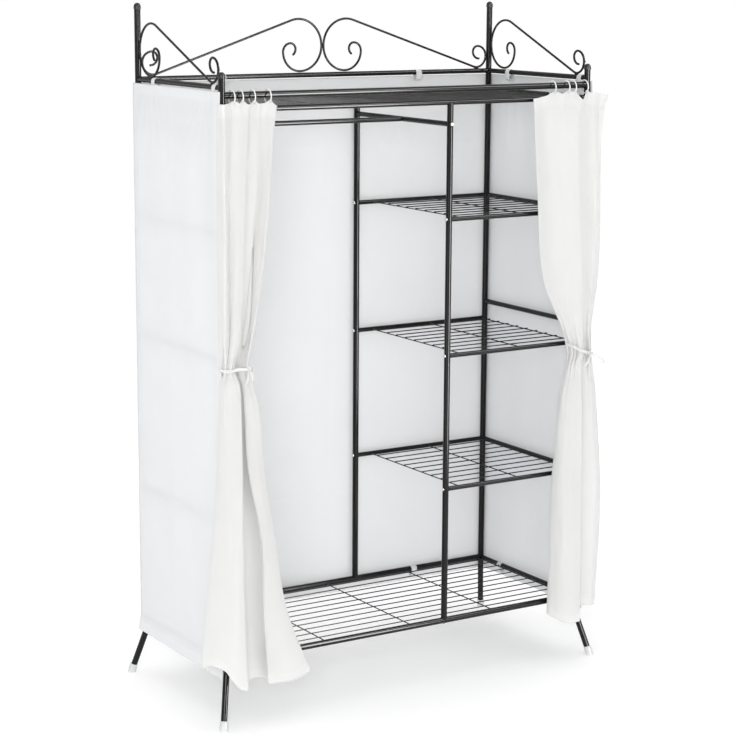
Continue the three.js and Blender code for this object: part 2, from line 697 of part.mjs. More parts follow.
// Shelves: the bottom and top ones are full width, and the top one has side rails of its own, to which
// its outermost and middle wires are anchored
const wideEnds = wireEndsFor(-halfWidth, halfWidth, wideCrossShares);
const wideShelf = (level, radius, endsOf) => (
  wireShelf(-halfWidth, halfWidth, level, radius, wideCrossShares, wideShelfWires, endsOf)
);
addPiece('bottom_shelf', geometryOf(wideShelf(bottomLevel, railRadius, () => wideEnds)), blackSteel);
const anchorEnds = [-halfWidth + rungRadius / 2, halfWidth - rungRadius / 2];
const topEndsOf = (wire) => (wire % anchorWires === 0 ? anchorEnds : wideEnds);
const topGrid = wideShelf(topShelfLevel, rungRadius, topEndsOf);
const topSides = [-halfWidth, halfWidth].map((x) => sideRung(x, topShelfLevel, rungRadius));
addPiece('top_shelf', geometryOf(joined([topGrid, ...topSides])), blackSteel);
const smallEnds = wireEndsFor(dividerX, halfWidth, smallCrossShares);
for (const [name, level] of Object.entries(shelfLevels)) {
  const radius = shelfTubeRadius;
  const endsOf = () => smallEnds;
  const shelf = wireShelf(dividerX, halfWidth, level, radius, smallCrossShares, smallShelfWires, endsOf);
  addPiece(`${name}_shelf`, geometryOf(shelf), blackSteel);
}

// Crown scrolls, standing on the crown rails
const scrollRadius = scrollDiameter / 2;
const scrollLevel = crownLevel + rungRadius + scrollRadius + touchGap;
const backInner = scrollRadius + touchGap / 2;
const postFace = postRadius + scrollRadius + touchGap;
const backSpan = halfWidth - postFace - backInner;
const sideSpan = frameDepth - 2 * postFace - sideCurlGap;
for (const [name, sideX] of [['left', -1], ['right', 1]]) {
  const onBack = (run, rise) => at(sideX * (backInner + run), halfDepth, scrollLevel + rise);
  const onSide = (run, rise) => at(sideX * halfWidth, halfDepth - postFace - run, scrollLevel + rise);
  addPiece(`scroll_back_${name}`, geometryOf(solidOf(scroll(backSpan, backCurlRadii, onBack))), blackSteel);
  addPiece(`scroll_side_${name}`, geometryOf(solidOf(scroll(sideSpan, sideCurlRadii, onSide))), blackSteel);
}

// Cloth panels of the right side, the left side and the back
const sideLoops = sideLoopShares.map((share) => share * frameDepth);
const backLoops = backLoopShares.map((share) => share * frameWidth);
const backFace = halfDepth + postRadius + panelStandOff - seamGap;
const frontEdge = -halfDepth + postRadius;
addPiece('side_panel_right', clothPanel(halfWidth, frontEdge, backFace, sideLoops, rungRadius), whiteCloth);
const mirroredLoops = sideLoops.map((along) => -along);
const leftPanel = addPiece(
  'side_panel_left',
  clothPanel(halfWidth, -backFace, -frontEdge, mirroredLoops, rungRadius),
  whiteCloth,
);
leftPanel.rotation.z = Math.PI;
const cornerX = halfWidth + postRadius + panelStandOff + panelThickness;
const backPanel = addPiece('back_panel', clothPanel(halfDepth, -cornerX, cornerX, backLoops, railRadius), whiteCloth);
backPanel.rotation.z = Math.PI / 2;

// Curtains with their rings and ties
for (const [name, drape] of [['left', leftDrape], ['right', rightDrape]]) {
  const rings = ringFoldShares.map((share) => ringPlace(drape, share));
  addPiece(`curtain_${name}`, curtain(drape, rings), whiteCloth);
  addPiece(`tie_${name}`, tie(drape), whiteRibbon);
  rings.forEach((place, index) => {
    const ring = new THREE.TorusGeometry(ringRadius, ringWire / 2, ringWireSides, ringSides).rotateY(Math.PI / 2);
    addPiece(`ring_${name}_${index + 1}`, ring, whitePlastic).position.copy(place);
  });
}

// Bolts through the middle posts into the shelf rails and the cross bar
for (const [side, y] of [['front', -halfDepth], ['back', halfDepth]]) {
  for (const [name, level] of Object.entries(shelfLevels)) {
    const shelfBolt = addPiece(`shelf_bolt_${side}_${name}`, bolt(), brightSteel);
    shelfBolt.position.set(dividerX - postRadius - touchGap, y, level);
  }
}
const barBolt = addPiece('cross_bar_bolt', bolt(), brightSteel);
barBolt.position.set(dividerX, -halfDepth - postRadius - touchGap, hangingLevel);
barBolt.rotation.z = Math.PI / 2;

export default wardrobe;
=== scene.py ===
"""The looks of a portable fabric wardrobe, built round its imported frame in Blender 4.5.

Metres, +Z up, in the frame's own axes: the origin is on the floor midway between the corner posts, -Y is the
open front and +X is on the right of someone who stands before it.
Every shape is a surface of two parameters, worked out as whole numpy arrays and given to a mesh at once.
"""

from __future__ import annotations

import logging
import math
from dataclasses import dataclass, field
from enum import Enum
from typing import NamedTuple

import bpy
import numpy as np
from mathutils import Matrix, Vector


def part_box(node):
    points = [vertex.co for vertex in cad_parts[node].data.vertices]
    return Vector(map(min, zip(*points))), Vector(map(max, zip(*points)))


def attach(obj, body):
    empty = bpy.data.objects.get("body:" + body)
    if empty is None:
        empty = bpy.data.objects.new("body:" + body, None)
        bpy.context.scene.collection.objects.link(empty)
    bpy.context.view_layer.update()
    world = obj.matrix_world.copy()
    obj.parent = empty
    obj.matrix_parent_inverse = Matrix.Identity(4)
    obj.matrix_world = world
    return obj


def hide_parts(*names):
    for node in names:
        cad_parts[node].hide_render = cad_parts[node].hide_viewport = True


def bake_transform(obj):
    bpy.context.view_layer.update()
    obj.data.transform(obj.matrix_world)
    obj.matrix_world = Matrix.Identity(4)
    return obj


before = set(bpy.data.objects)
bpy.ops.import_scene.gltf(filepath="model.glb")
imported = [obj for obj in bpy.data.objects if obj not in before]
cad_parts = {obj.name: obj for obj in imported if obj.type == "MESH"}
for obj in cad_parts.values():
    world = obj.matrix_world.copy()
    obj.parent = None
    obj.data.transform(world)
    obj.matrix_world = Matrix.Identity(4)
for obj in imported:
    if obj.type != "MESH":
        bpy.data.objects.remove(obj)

log = logging.getLogger("wardrobe")

Array = np.ndarray
Socket = bpy.types.NodeSocket
Pair = tuple[float, float]
Triple = tuple[float, float, float]
Floats = tuple[float, ...]

FRAME_BODY = "frame"
UP = np.array([0.0, 0.0, 1.0])
ALONG_X = np.array([1.0, 0.0, 0.0])
ALONG_Y = np.array([0.0, 1.0, 0.0])
LEVEL = ALONG_X + ALONG_Y
TURN = 2 * math.pi

POST_RADIUS = 0.008
RUNG_RADIUS = 0.0065
BAR_SIDES = 28
BAR_EDGE = 0.0004
LET_IN_SHARE = 0.55
BEAD_SHARE = 0.97
BEAD_STATIONS = 20
BEAD_SIDES = 6
CLOTH_THICKNESS = 0.0011
HEM_EASE = 0.0015
SEAM_INSET = 0.003
SEAM_REACH = 0.0016
SEAM_DIP = 0.9
UPRIGHT = 0.9


class Place(Enum):
    """One of two places that face each other, with its sign along the axis between them."""

    @property
    def word(self) -> str:
        """The place's name in the names of the frame's nodes."""
        return self.name.lower()


class Side(Place):
    """A side of the wardrobe, with its sign along X."""

    LEFT = -1
    RIGHT = 1


class Depth(Place):
    """The front or the back of the wardrobe, with its sign along Y."""

    FRONT = -1
    BACK = 1


def middle_of(node: str) -> Array:
    """The middle of a frame node's box."""
    low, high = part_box(node)
    return (np.array(low) + np.array(high)) / 2


def unit(vectors: Array) -> Array:
    """Vectors of length one along the last axis."""
    return vectors / np.linalg.norm(vectors, axis=-1, keepdims=True)


def smooth_step(share: Array) -> Array:
    """An even ease from 0 to 1: 3t^2 - 2t^3 of the share, held at 0 and 1 outside."""
    t = np.clip(share, 0.0, 1.0)
    return t * t * (3 - 2 * t)


def bump_at(place: Array, middle: float, reach: float | Array) -> Array:
    """A bell of height 1 at the middle: exp(-((place - middle) / reach)^2)."""
    return np.exp(-(((place - middle) / reach) ** 2))


def hem_share(inside: Array, hem: float) -> Array:
    """1 in a hem's double cloth and 0 in the single cloth, eased over its inner edge."""
    return smooth_step((hem - inside) / HEM_EASE + 0.5)


def seam_share(inside: Array, hem: float) -> Array:
    """A bell along a hem's stitches, which lie a little way into it."""
    return bump_at(inside, hem - SEAM_INSET, SEAM_REACH)


class Wave(NamedTuple):
    """A wave over a cloth: its height, its counts over the width and the drop, and its phase."""

    height: float
    across: float
    down: float
    phase: float

    def at(self, across: Array, down: Array) -> Array:
        """Its value at two shares, a and d: height sin(2 pi (across a + down d) + phase)."""
        return self.height * np.sin(TURN * (self.across * across + self.down * down) + self.phase)


def smooth_lines(knots: Array, values: Array, places: Array) -> Array:
    """Smooth lines through many tables over the same knots at once.

    Between two knots each is the cubic whose slope at a knot is that between the knot's two neighbours.

    Args:
        knots: The rising knots.
        values: The values, with the knots along the first axis.
        places: Where the lines are wanted.

    Returns:
        The lines' values, with the places along the first axis.
    """
    before = np.maximum(np.arange(len(knots)) - 1, 0)
    after = np.minimum(np.arange(len(knots)) + 1, len(knots) - 1)
    spread = (-1,) + (1,) * (values.ndim - 1)
    slopes = (values[after] - values[before]) / (knots[after] - knots[before]).reshape(spread)
    low = np.clip(np.searchsorted(knots, places, side="right") - 1, 0, len(knots) - 2)
    width = knots[low + 1] - knots[low]
    t = ((places - knots[low]) / width).reshape(spread)
    rise = (1 + 2 * t) * (1 - t) ** 2 * values[low] + t * t * (3 - 2 * t) * values[low + 1]
    return rise + width.reshape(spread) * (t * (1 - t) ** 2 * slopes[low] + t * t * (t - 1) * slopes[low + 1])


def grid_faces(rows: int, columns: int, wrap_rows: bool = False, wrap_columns: bool = False) -> Array:
    """Quads between the neighbouring points of a grid that is numbered row by row.

    Args:
        rows: The number of rows.
        columns: The number of points in a row.
        wrap_rows: Whether the last row joins the first.
        wrap_columns: Whether each row closes on itself.

    Returns:
        An array of quads, four point numbers each.
    """
    row, column = np.meshgrid(
        np.arange(rows if wrap_rows else rows - 1),
        np.arange(columns if wrap_columns else columns - 1),
        indexing="ij",
    )
    next_row, next_column = (row + 1) % rows, (column + 1) % columns
    corners = [
        row * columns + column,
        row * columns + next_column,
        next_row * columns + next_column,
        next_row * columns + column,
    ]
    return np.stack(corners, axis=-1).reshape(-1, 4)


def end_fans(rings: int, sides: int) -> list[Array]:
    """Triangles that close the two ends of a grid whose rows close on themselves.

    The two poles are the points that follow the grid's: the first row's pole, then the last row's.

    Args:
        rings: The number of rows.
        sides: The number of points in a row.

    Returns:
        The first end's triangles and the last end's.
    """
    corner = np.arange(sides)
    after = (corner + 1) % sides
    count = rings * sides
    last = count - sides
    first_end = np.stack([after, corner, np.full(sides, count)], axis=1)
    last_end = np.stack([last + corner, last + after, np.full(sides, count + 1)], axis=1)
    return [first_end, last_end]


@dataclass
class Surface:
    """A closed surface: its points, its faces in arrays of quads and triangles, and cloth places.

    A cloth point's place is on the flat cut, in metres, and its hem share is 1 in the hem's double cloth.
    """

    points: Array
    faces: list[Array]
    places: Array | None = None
    hems: Array | None = None

    def outward(self) -> "Surface":
        """The same surface with its faces pointing out, judged by the sign of the volume they hold."""
        six_volumes = 0.0
        for faces in self.faces:
            for step in range(1, faces.shape[1] - 1):
                a, b, c = (self.points[faces[:, corner]] for corner in (0, step, step + 1))
                six_volumes += float((a * np.cross(b, c)).sum())
        if six_volumes < 0:
            self.faces = [faces[:, ::-1] for faces in self.faces]
        return self

    @staticmethod
    def joined(parts: list["Surface"]) -> "Surface":
        """Several surfaces as one, each kept closed in itself."""
        starts = np.cumsum([0] + [len(part.points) for part in parts])
        faces = [group + start for part, start in zip(parts, starts) for group in part.faces]
        points = np.concatenate([part.points for part in parts])
        if any(part.places is None for part in parts):
            return Surface(points, faces)
        places = np.concatenate([part.places for part in parts])
        hems = np.concatenate([part.hems for part in parts])
        return Surface(points, faces, places, hems)


def carried_circle(path: Array, radii: Array, across: Array, sides: int) -> Surface:
    """A circle carried along a path that lies in a plane, with its two ends closed.

    The point at station s and angle a is path(s) + r(s) (cos a N + sin a B), where B is square to the
    plane and N is square to B and to the path.

    Args:
        path: The stations, one point a row.
        radii: The radius at each station.
        across: The direction square to the path's plane.
        sides: The points round the circle.

    Returns:
        The closed surface.
    """
    binormal = unit(across)
    normal = unit(np.cross(binormal, np.gradient(path, axis=0)))
    angle = np.linspace(0, TURN, sides, endpoint=False)
    ring = np.cos(angle)[None, :, None] * normal[:, None, :] + np.sin(angle)[None, :, None] * binormal
    points = path[:, None, :] + radii[:, None, None] * ring
    everything = np.concatenate([points.reshape(-1, 3), path[:1], path[-1:]])
    wall = grid_faces(len(path), sides, wrap_columns=True)
    return Surface(everything, [wall, *end_fans(len(path), sides)]).outward()


def straight_bar(start: Array, end: Array, radius: float, sides: int, edge: float) -> Surface:
    """A straight round bar whose end edges are broken.

    Args:
        start: The middle of its first end.
        end: The middle of its last end.
        radius: Its radius.
        sides: The points round it.
        edge: How much the ends' edges are broken.

    Returns:
        The closed surface.
    """
    run = unit(end - start)
    across = unit(np.cross(run, UP if abs(run[2]) < UPRIGHT else ALONG_X))
    path = np.stack([start, start + run * edge, end - run * edge, end])
    return carried_circle(path, np.array([radius - edge, radius, radius, radius - edge]), across, sides)


def turned_up(out: Array) -> Array:
    """The turn that takes the upward direction to another, as a matrix whose columns are the new axes."""
    first = unit(np.cross(out, ALONG_Y if abs(out[1]) < UPRIGHT else ALONG_X))
    return np.stack([first, np.cross(out, first), out], axis=1)


def turned_profile(profile: Array, origin: Array, axis: Array, sides: int) -> Surface:
    """A profile turned round an axis.

    The point for a profile point (r, h) and an angle a is origin + h A + r (cos a U + sin a W), where U,
    W and the axis A are square to each other. The profile starts and ends on the axis.

    Args:
        profile: Rows of radius and height.
        origin: Where the height is zero.
        axis: The direction of the height.
        sides: The points round the axis.

    Returns:
        The closed surface.
    """
    first, second, axis = turned_up(unit(axis)).T
    angle = np.linspace(0, TURN, sides, endpoint=False)
    ring = np.cos(angle)[:, None] * first + np.sin(angle)[:, None] * second
    inner = profile[1:-1]
    points = origin + inner[:, 1, None, None] * axis + inner[:, 0, None, None] * ring
    poles = origin + profile[[0, -1], 1][:, None] * axis
    everything = np.concatenate([points.reshape(-1, 3), poles])
    wall = grid_faces(len(inner), sides, wrap_columns=True)
    return Surface(everything, [wall, *end_fans(len(inner), sides)]).outward()


def weld_bead(post: Array, run: Array, bar_radius: float, bead: float) -> Surface:
    """The weld where a level bar meets an upright post.

    Its middle line is where the two cylinders cross: at angle a round the bar it lies r cos a to the side,
    r sin a up and sqrt(R^2 - (r cos a)^2) out from the post's axis, where R is the post's radius. A small
    circle is carried round it.

    Args:
        post: The point on the post's axis at the bar's level.
        run: The direction of the bar, away from the post.
        bar_radius: The bar's radius r.
        bead: The radius of the bead.

    Returns:
        The closed surface.
    """
    side = np.cross(UP, run)
    around = np.linspace(0, TURN, BEAD_STATIONS, endpoint=False)
    section = np.linspace(0, TURN, BEAD_SIDES, endpoint=False)
    reach = np.sqrt(np.maximum(POST_RADIUS**2 - (bar_radius * np.cos(around)) ** 2, 0))
    radial = np.cos(around)[:, None] * side + np.sin(around)[:, None] * UP
    line = post + reach[:, None] * run + bar_radius * radial
    grown = np.cos(section)[None, :, None] * radial[:, None, :] + np.sin(section)[None, :, None] * run
    points = (line[:, None, :] + bead * grown).reshape(-1, 3)
    return Surface(points, [grid_faces(len(around), len(section), True, True)]).outward()


def welded_bar(start: Array, end: Array, radius: float, bead: float) -> list[Surface]:
    """A level bar that is let into two upright posts, with a weld bead at each.

    Args:
        start: The point on the first post's axis.
        end: The point on the last post's axis.
        radius: The bar's radius.
        bead: The radius of the beads.

    Returns:
        The bar and its two beads.
    """
    run = unit(end - start)
    inside = run * POST_RADIUS * LET_IN_SHARE
    line = min(radius, POST_RADIUS * BEAD_SHARE)
    return [
        straight_bar(start + inside, end - inside, radius, BAR_SIDES, BAR_EDGE),
        weld_bead(start, run, line, bead),
        weld_bead(end, -run, line, bead),
    ]


def carried_section(centre: Array, flat: Array, axis: Array, radius: float, out: Array,
                    along: Array) -> Surface:
    """A small section carried round an upright circle.

    At angle a round the circle the direction outwards is O = cos a F + sin a Z, and the point of the
    section is centre + (radius + out) O + along A, where F is the flat direction and A the axis.

    Args:
        centre: The circle's middle.
        flat: The level direction in the circle's plane.
        axis: The direction square to the circle.
        radius: The circle's radius.
        out: How far each point stands outwards, stations by points of the section.
        along: How far each point of the section stands along the axis.

    Returns:
        The closed surface.
    """
    around = np.linspace(0, TURN, len(out), endpoint=False)
    outward = np.cos(around)[:, None] * flat + np.sin(around)[:, None] * UP
    points = centre + (radius + out)[..., None] * outward[:, None, :] + along[:, None] * axis
    return Surface(points.reshape(-1, 3), [grid_faces(*out.shape, True, True)]).outward()


def cloth_shell(middle: Array, thickness: Array, places: Array, hems: Array,
                kept: Array | None = None) -> Surface:
    """A sheet with two faces and closed edges, from its middle surface.

    Each face stands half the thickness off the middle, along the normal, which is the cross product of the
    two directions of the grid. Quads that aren't kept leave holes, and the rims are closed.

    Args:
        middle: A grid of points, rows by columns by three.
        thickness: The thickness at each point.
        places: Each point's place on the flat cut.
        hems: Each point's hem share.
        kept: Which quads are kept, rows less one by columns less one, or None for all.

    Returns:
        The closed surface.
    """
    rows, columns = thickness.shape
    normal = unit(np.cross(np.gradient(middle, axis=0), np.gradient(middle, axis=1)))
    half = thickness[..., None] / 2 * normal
    count = rows * columns
    points = np.concatenate([(middle + half).reshape(-1, 3), (middle - half).reshape(-1, 3)])
    front = grid_faces(rows, columns)
    if kept is not None:
        front = front[kept.ravel()]
    edges = np.concatenate([front[:, [step, (step + 1) % 4]] for step in range(4)])
    codes = np.sort(edges, axis=1) @ np.array([count, 1])
    _, which, uses = np.unique(codes, return_index=True, return_counts=True)
    rim = edges[which[uses == 1]]
    rim_faces = np.stack([rim[:, 1], rim[:, 0], rim[:, 0] + count, rim[:, 1] + count], axis=1)
    whole = Surface(
        points,
        [front, front[:, ::-1] + count, rim_faces],
        np.tile(places.reshape(-1, 2), (2, 1)),
        np.tile(hems.ravel(), 2),
    )
    return whole.outward()


def carried_strip(path: Array, side: Array, width: Array, thickness: float, closed: bool) -> Surface:
    """A ribbon carried along a path, flat side square to the given side direction.

    Its section is a thin rectangle with rounded corners: ten points at path + x S + y N, where S is the
    side direction and N is square to it and the path.

    Args:
        path: The stations, one point a row.
        side: The direction of the ribbon's width at each station.
        width: The width at each station.
        thickness: The ribbon's thickness.
        closed: Whether the ribbon closes on itself.

    Returns:
        The closed surface, with places measured along the ribbon.
    """
    if closed:
        tangent = unit(np.roll(path, -1, axis=0) - np.roll(path, 1, axis=0))
    else:
        tangent = unit(np.gradient(path, axis=0))
    normal = unit(np.cross(side, tangent))
    half_x = np.array([-1.0, -1.0, -0.5, 0.0, 0.5, 1.0, 1.0, 0.5, 0.0, -0.5]) / 2
    half_y = np.array([-0.5, 0.5, 1.0, 1.0, 1.0, 0.5, -0.5, -1.0, -1.0, -1.0]) / 2
    offset_x = half_x[None, :, None] * width[:, None, None] * side[:, None, :]
    offset_y = half_y[None, :, None] * thickness * normal[:, None, :]
    points = path[:, None, :] + offset_x + offset_y
    sides = len(half_x)
    faces = [grid_faces(len(path), sides, wrap_rows=closed, wrap_columns=True)]
    steps = np.linalg.norm(np.diff(path, axis=0), axis=1)
    along = np.concatenate([[0.0], np.cumsum(steps)])
    spread = np.broadcast_arrays(half_x[None, :] * width[:, None], along[:, None])
    places = np.stack(spread, axis=-1).reshape(-1, 2)
    everything = points.reshape(-1, 3)
    if not closed:
        faces += end_fans(len(path), sides)
        everything = np.concatenate([everything, path[:1], path[-1:]])
        places = np.concatenate([places, [[0.0, 0.0], [0.0, along[-1]]]])
    return Surface(everything, faces, places, np.ones(len(everything))).outward()


class Graph:
    """Adds nodes to a tree and links them."""

    def __init__(self, tree: bpy.types.NodeTree) -> None:
        """Starts from a tree that is there."""
        self.tree = tree

    def node(self, kind: str, inputs: dict[str | int, object] | None = None,
             **settings: object) -> bpy.types.Node:
        """Adds a node, sets its properties and sets or links its inputs.

        Args:
            kind: The node's type, without its prefix.
            inputs: Values or output sockets for named or numbered inputs.
            **settings: The node's own properties.

        Returns:
            The node.
        """
        made = self.tree.nodes.new("ShaderNode" + kind)
        for name, value in settings.items():
            setattr(made, name, value)
        for name, value in (inputs or {}).items():
            self.set(made.inputs[name], value)
        return made

    def set(self, socket: Socket, value: object) -> None:
        """Sets an input to a value, or links it where the value is an output socket."""
        if isinstance(value, Socket):
            self.tree.links.new(value, socket)
        else:
            socket.default_value = value

    def math(self, operation: str, *values: object) -> Socket:
        """The output of a Math node over the values."""
        return self.node("Math", dict(enumerate(values)), operation=operation).outputs[0]


class Recipe(Graph):
    """Builds a material's nodes round its main shader."""

    def __init__(self, name: str) -> None:
        """Starts the named material with a bare main shader."""
        self.material = bpy.data.materials.new(name)
        self.material.use_nodes = True
        super().__init__(self.material.node_tree)
        self.shader = self.tree.nodes["Principled BSDF"]

    def noise(self, scale: float, detail: float = 2.0, source: object = None) -> Socket:
        """Even noise over the piece's own coordinates, or over another source of them."""
        place = source or self.node("TexCoord").outputs["Object"]
        return self.node("TexNoise", {"Vector": place, "Scale": scale, "Detail": detail}).outputs["Fac"]

    def between(self, share: object, low: float, high: float) -> Socket:
        """A value that goes from low to high with the share."""
        inputs = {"Value": share, "To Min": low, "To Max": high}
        return self.node("MapRange", inputs).outputs["Result"]

    def tinted(self, share: object, low: Floats, high: Floats) -> Socket:
        """A colour that goes from low to high with the share."""
        mix = self.node("Mix", {"Factor": share}, data_type="RGBA")
        mix.inputs[6].default_value = (*low, 1.0)
        mix.inputs[7].default_value = (*high, 1.0)
        return mix.outputs[2]

    def bump(self, height: object, distance: float, strength: float = 1.0) -> None:
        """Bumps the main shader's normal by a height, in metres of the given distance."""
        made = self.node("Bump", {"Height": height, "Distance": distance, "Strength": strength})
        self.set(self.shader.inputs["Normal"], made.outputs["Normal"])

    def shade(self, **values: object) -> None:
        """Sets or links inputs of the main shader, named with underscores for spaces."""
        for name, value in values.items():
            self.set(self.shader.inputs[name.replace("_", " ")], value)


@dataclass(frozen=True)
class PaintedSteel:
    """Black stoving enamel on steel tube: glossy, with a faint orange peel and dusty, duller patches."""

    slot: str = "black_tube"
    dark: Triple = (0.0030, 0.0026, 0.0027)
    light: Triple = (0.0090, 0.0080, 0.0080)
    roughness: Pair = (0.09, 0.18)
    gloss: float = 0.25
    peel_scale: float = 420.0
    peel_depth: float = 0.00006
    patch_scale: float = 14.0

    def material(self) -> bpy.types.Material:
        """The finish as a material."""
        recipe = Recipe("black_enamel")
        patches = recipe.noise(self.patch_scale, 4.0)
        peel = recipe.noise(self.peel_scale, 1.0)
        recipe.shade(
            Base_Color=recipe.tinted(patches, self.dark, self.light),
            Roughness=recipe.between(patches, *self.roughness),
            Specular_IOR_Level=self.gloss,
        )
        recipe.bump(peel, self.peel_depth)
        return recipe.material


@dataclass(frozen=True)
class MouldedPlastic:
    """Plain moulded plastic with a fine grain."""

    name: str
    slot: str
    low: Triple
    high: Triple
    roughness: float = 0.4
    clearness: float = 0.0
    refraction: float = 1.49
    duller: float = 0.08
    glossier: float = 0.06
    cloud_scale: float = 60.0
    grain_scale: float = 900.0
    grain_depth: float = 0.00004

    def material(self) -> bpy.types.Material:
        """The finish as a material."""
        recipe = Recipe(self.name)
        cloud = recipe.noise(self.cloud_scale, 3.0)
        grain = recipe.noise(self.grain_scale, 1.0)
        recipe.shade(
            Base_Color=recipe.tinted(cloud, self.low, self.high),
            Roughness=recipe.between(cloud, self.roughness - self.glossier, self.roughness + self.duller),
            Transmission_Weight=self.clearness,
            IOR=self.refraction,
        )
        recipe.bump(grain, self.grain_depth)
        return recipe.material


@dataclass(frozen=True)
class BrightSteel:
    """Zinc-plated steel of the bolts, with turning marks."""

    slot: str = "bolt_steel"
    low: Triple = (0.55, 0.56, 0.57)
    high: Triple = (0.78, 0.79, 0.80)
    roughness: Pair = (0.18, 0.38)
    mark_scale: float = 350.0
    mark_depth: float = 0.00003

    def material(self) -> bpy.types.Material:
        """The finish as a material."""
        recipe = Recipe("zinc_plate")
        cloud = recipe.noise(self.mark_scale, 3.0)
        recipe.shade(
            Base_Color=recipe.tinted(cloud, self.low, self.high),
            Metallic=1.0,
            Roughness=recipe.between(cloud, *self.roughness),
        )
        recipe.bump(cloud, self.mark_depth)
        return recipe.material


@dataclass(frozen=True)
class WovenCloth:
    """White woven polyester: a plain weave on the flat cut, soft clouds of tone and brighter double hems."""

    name: str = "panel_cloth"
    slot: str = "cloth"
    shade_tone: Triple = (0.650, 0.662, 0.674)
    light_tone: Triple = (0.700, 0.712, 0.724)
    thread_pitch: float = 0.0009
    hem_lift: float = 0.35
    cloud_share: float = 0.7
    cloud_scale: float = 9.0
    slub_scale: float = 180.0
    roughness: Pair = (0.78, 0.92)
    gloss: float = 0.25
    softness: float = 0.8
    soft_depth: float = 0.004
    thread_height: float = 0.7
    slub_height: float = 0.5
    relief: float = 0.00018
    relief_strength: float = 0.8

    def weave(self, recipe: Recipe, cut: Socket) -> Socket:
        """The plain weave's height: the product of two sines of the place on the cut.

        Args:
            recipe: The material's recipe.
            cut: The place on the flat cut, in metres.

        Returns:
            The height, from 0 to 1.
        """
        parts = recipe.node("SeparateXYZ", {"Vector": cut})
        waves = [
            recipe.math("SINE", recipe.math("MULTIPLY", parts.outputs[axis], TURN / (2 * self.thread_pitch)))
            for axis in (0, 1)
        ]
        return recipe.math("MULTIPLY_ADD", recipe.math("MULTIPLY", *waves), 0.5, 0.5)

    def material(self) -> bpy.types.Material:
        """The finish as a material."""
        recipe = Recipe(self.name)
        cut = recipe.node("UVMap", uv_map="cut").outputs["UV"]
        hem = recipe.node("Attribute", attribute_name="hem").outputs["Fac"]
        slub = recipe.noise(self.slub_scale, 2.0, cut)
        cloud = recipe.noise(self.cloud_scale, 3.0)
        slubs = recipe.math("MULTIPLY", slub, 1 - self.cloud_share)
        tone = recipe.math("MULTIPLY_ADD", cloud, self.cloud_share, slubs)
        lifted = recipe.math("MULTIPLY_ADD", hem, self.hem_lift, tone)
        recipe.shade(
            Base_Color=recipe.tinted(lifted, self.shade_tone, self.light_tone),
            Roughness=recipe.between(slub, *self.roughness),
            Specular_IOR_Level=self.gloss,
            Subsurface_Weight=self.softness,
            Subsurface_Radius=(1.0, 1.0, 1.0),
            Subsurface_Scale=self.soft_depth,
        )
        slubs = recipe.math("MULTIPLY", slub, self.slub_height)
        height = recipe.math("MULTIPLY_ADD", self.weave(recipe, cut), self.thread_height, slubs)
        recipe.bump(height, self.relief, self.relief_strength)
        return recipe.material


@dataclass
class Workshop:
    """Turns surfaces into pieces of the object, each with a finish, a body and the nodes it stands for."""

    materials: dict[str, bpy.types.Material] = field(default_factory=dict)
    smooth_angle: float = math.radians(38)

    def piece(self, name: str, surface: Surface, finish: object, body: str | None = FRAME_BODY,
              stands_for: tuple[str, ...] = ()) -> bpy.types.Object:
        """Makes a piece of the object.

        Args:
            name: The piece's name.
            surface: Its closed surface.
            finish: The finish that dresses it.
            body: The frame's body that it rides on, or None to leave it on no body.
            stands_for: The frame's nodes that it replaces.

        Returns:
            The new object.
        """
        mesh = bpy.data.meshes.new(name)
        loops = np.concatenate([group.ravel() for group in surface.faces]).astype(np.int32)
        sizes = np.concatenate([np.full(len(group), group.shape[1]) for group in surface.faces])
        starts = np.concatenate([[0], np.cumsum(sizes)[:-1]]).astype(np.int32)
        mesh.vertices.add(len(surface.points))
        mesh.loops.add(len(loops))
        mesh.polygons.add(len(sizes))
        mesh.vertices.foreach_set("co", surface.points.astype(np.float32).ravel())
        mesh.loops.foreach_set("vertex_index", loops)
        mesh.polygons.foreach_set("loop_start", starts)
        mesh.update(calc_edges=True)
        mesh.polygons.foreach_set("use_smooth", np.ones(len(sizes), dtype=bool))
        if surface.places is not None:
            layer = mesh.uv_layers.new(name="cut")
            layer.uv.foreach_set("vector", surface.places[loops].astype(np.float32).ravel())
            hem = mesh.attributes.new("hem", "FLOAT", "POINT")
            hem.data.foreach_set("value", surface.hems.astype(np.float32))
        else:
            mesh.set_sharp_from_angle(angle=self.smooth_angle)
        made = bpy.data.objects.new(name, mesh)
        bpy.context.scene.collection.objects.link(made)
        made.data.materials.append(self.dressing(finish))
        if body is not None:
            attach(made, body)
        if stands_for:
            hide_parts(*stands_for)
        log.info("%s: %d faces", name, len(sizes))
        return made

    def dressing(self, finish: object) -> bpy.types.Material:
        """The material of a finish, made once."""
        key = repr(finish)
        if key not in self.materials:
            self.materials[key] = finish.material()
        return self.materials[key]


ENAMEL = PaintedSteel()
CAP_PLASTIC = MouldedPlastic("black_cap", "cap_plastic", (0.006, 0.006, 0.007), (0.012, 0.011, 0.012), 0.26)
FOOT_PLASTIC = MouldedPlastic("clear_foot", "foot_plastic", (0.76, 0.77, 0.78), (0.88, 0.89, 0.90), 0.3, 0.25)
RING_PLASTIC = MouldedPlastic("white_ring", "ring_plastic", (0.80, 0.80, 0.79), (0.86, 0.86, 0.85), 0.36)
ZINC = BrightSteel()
PANEL_CLOTH = WovenCloth()
# The back panel is the side panels' cloth with a lighter tone: painted light that makes up for the shade
# inside the wardrobe.
BACK_CLOTH_WITH_PAINTED_LIGHT = WovenCloth("back_cloth", "cloth", (0.735, 0.742, 0.750), (0.785, 0.792, 0.800))
CURTAIN_CLOTH = WovenCloth("curtain_cloth", "cloth", (0.655, 0.653, 0.646), (0.705, 0.703, 0.696))
RIBBON = WovenCloth("white_ribbon", "ribbon", (0.72, 0.72, 0.71), (0.78, 0.78, 0.77), 0.0006, 0.0)


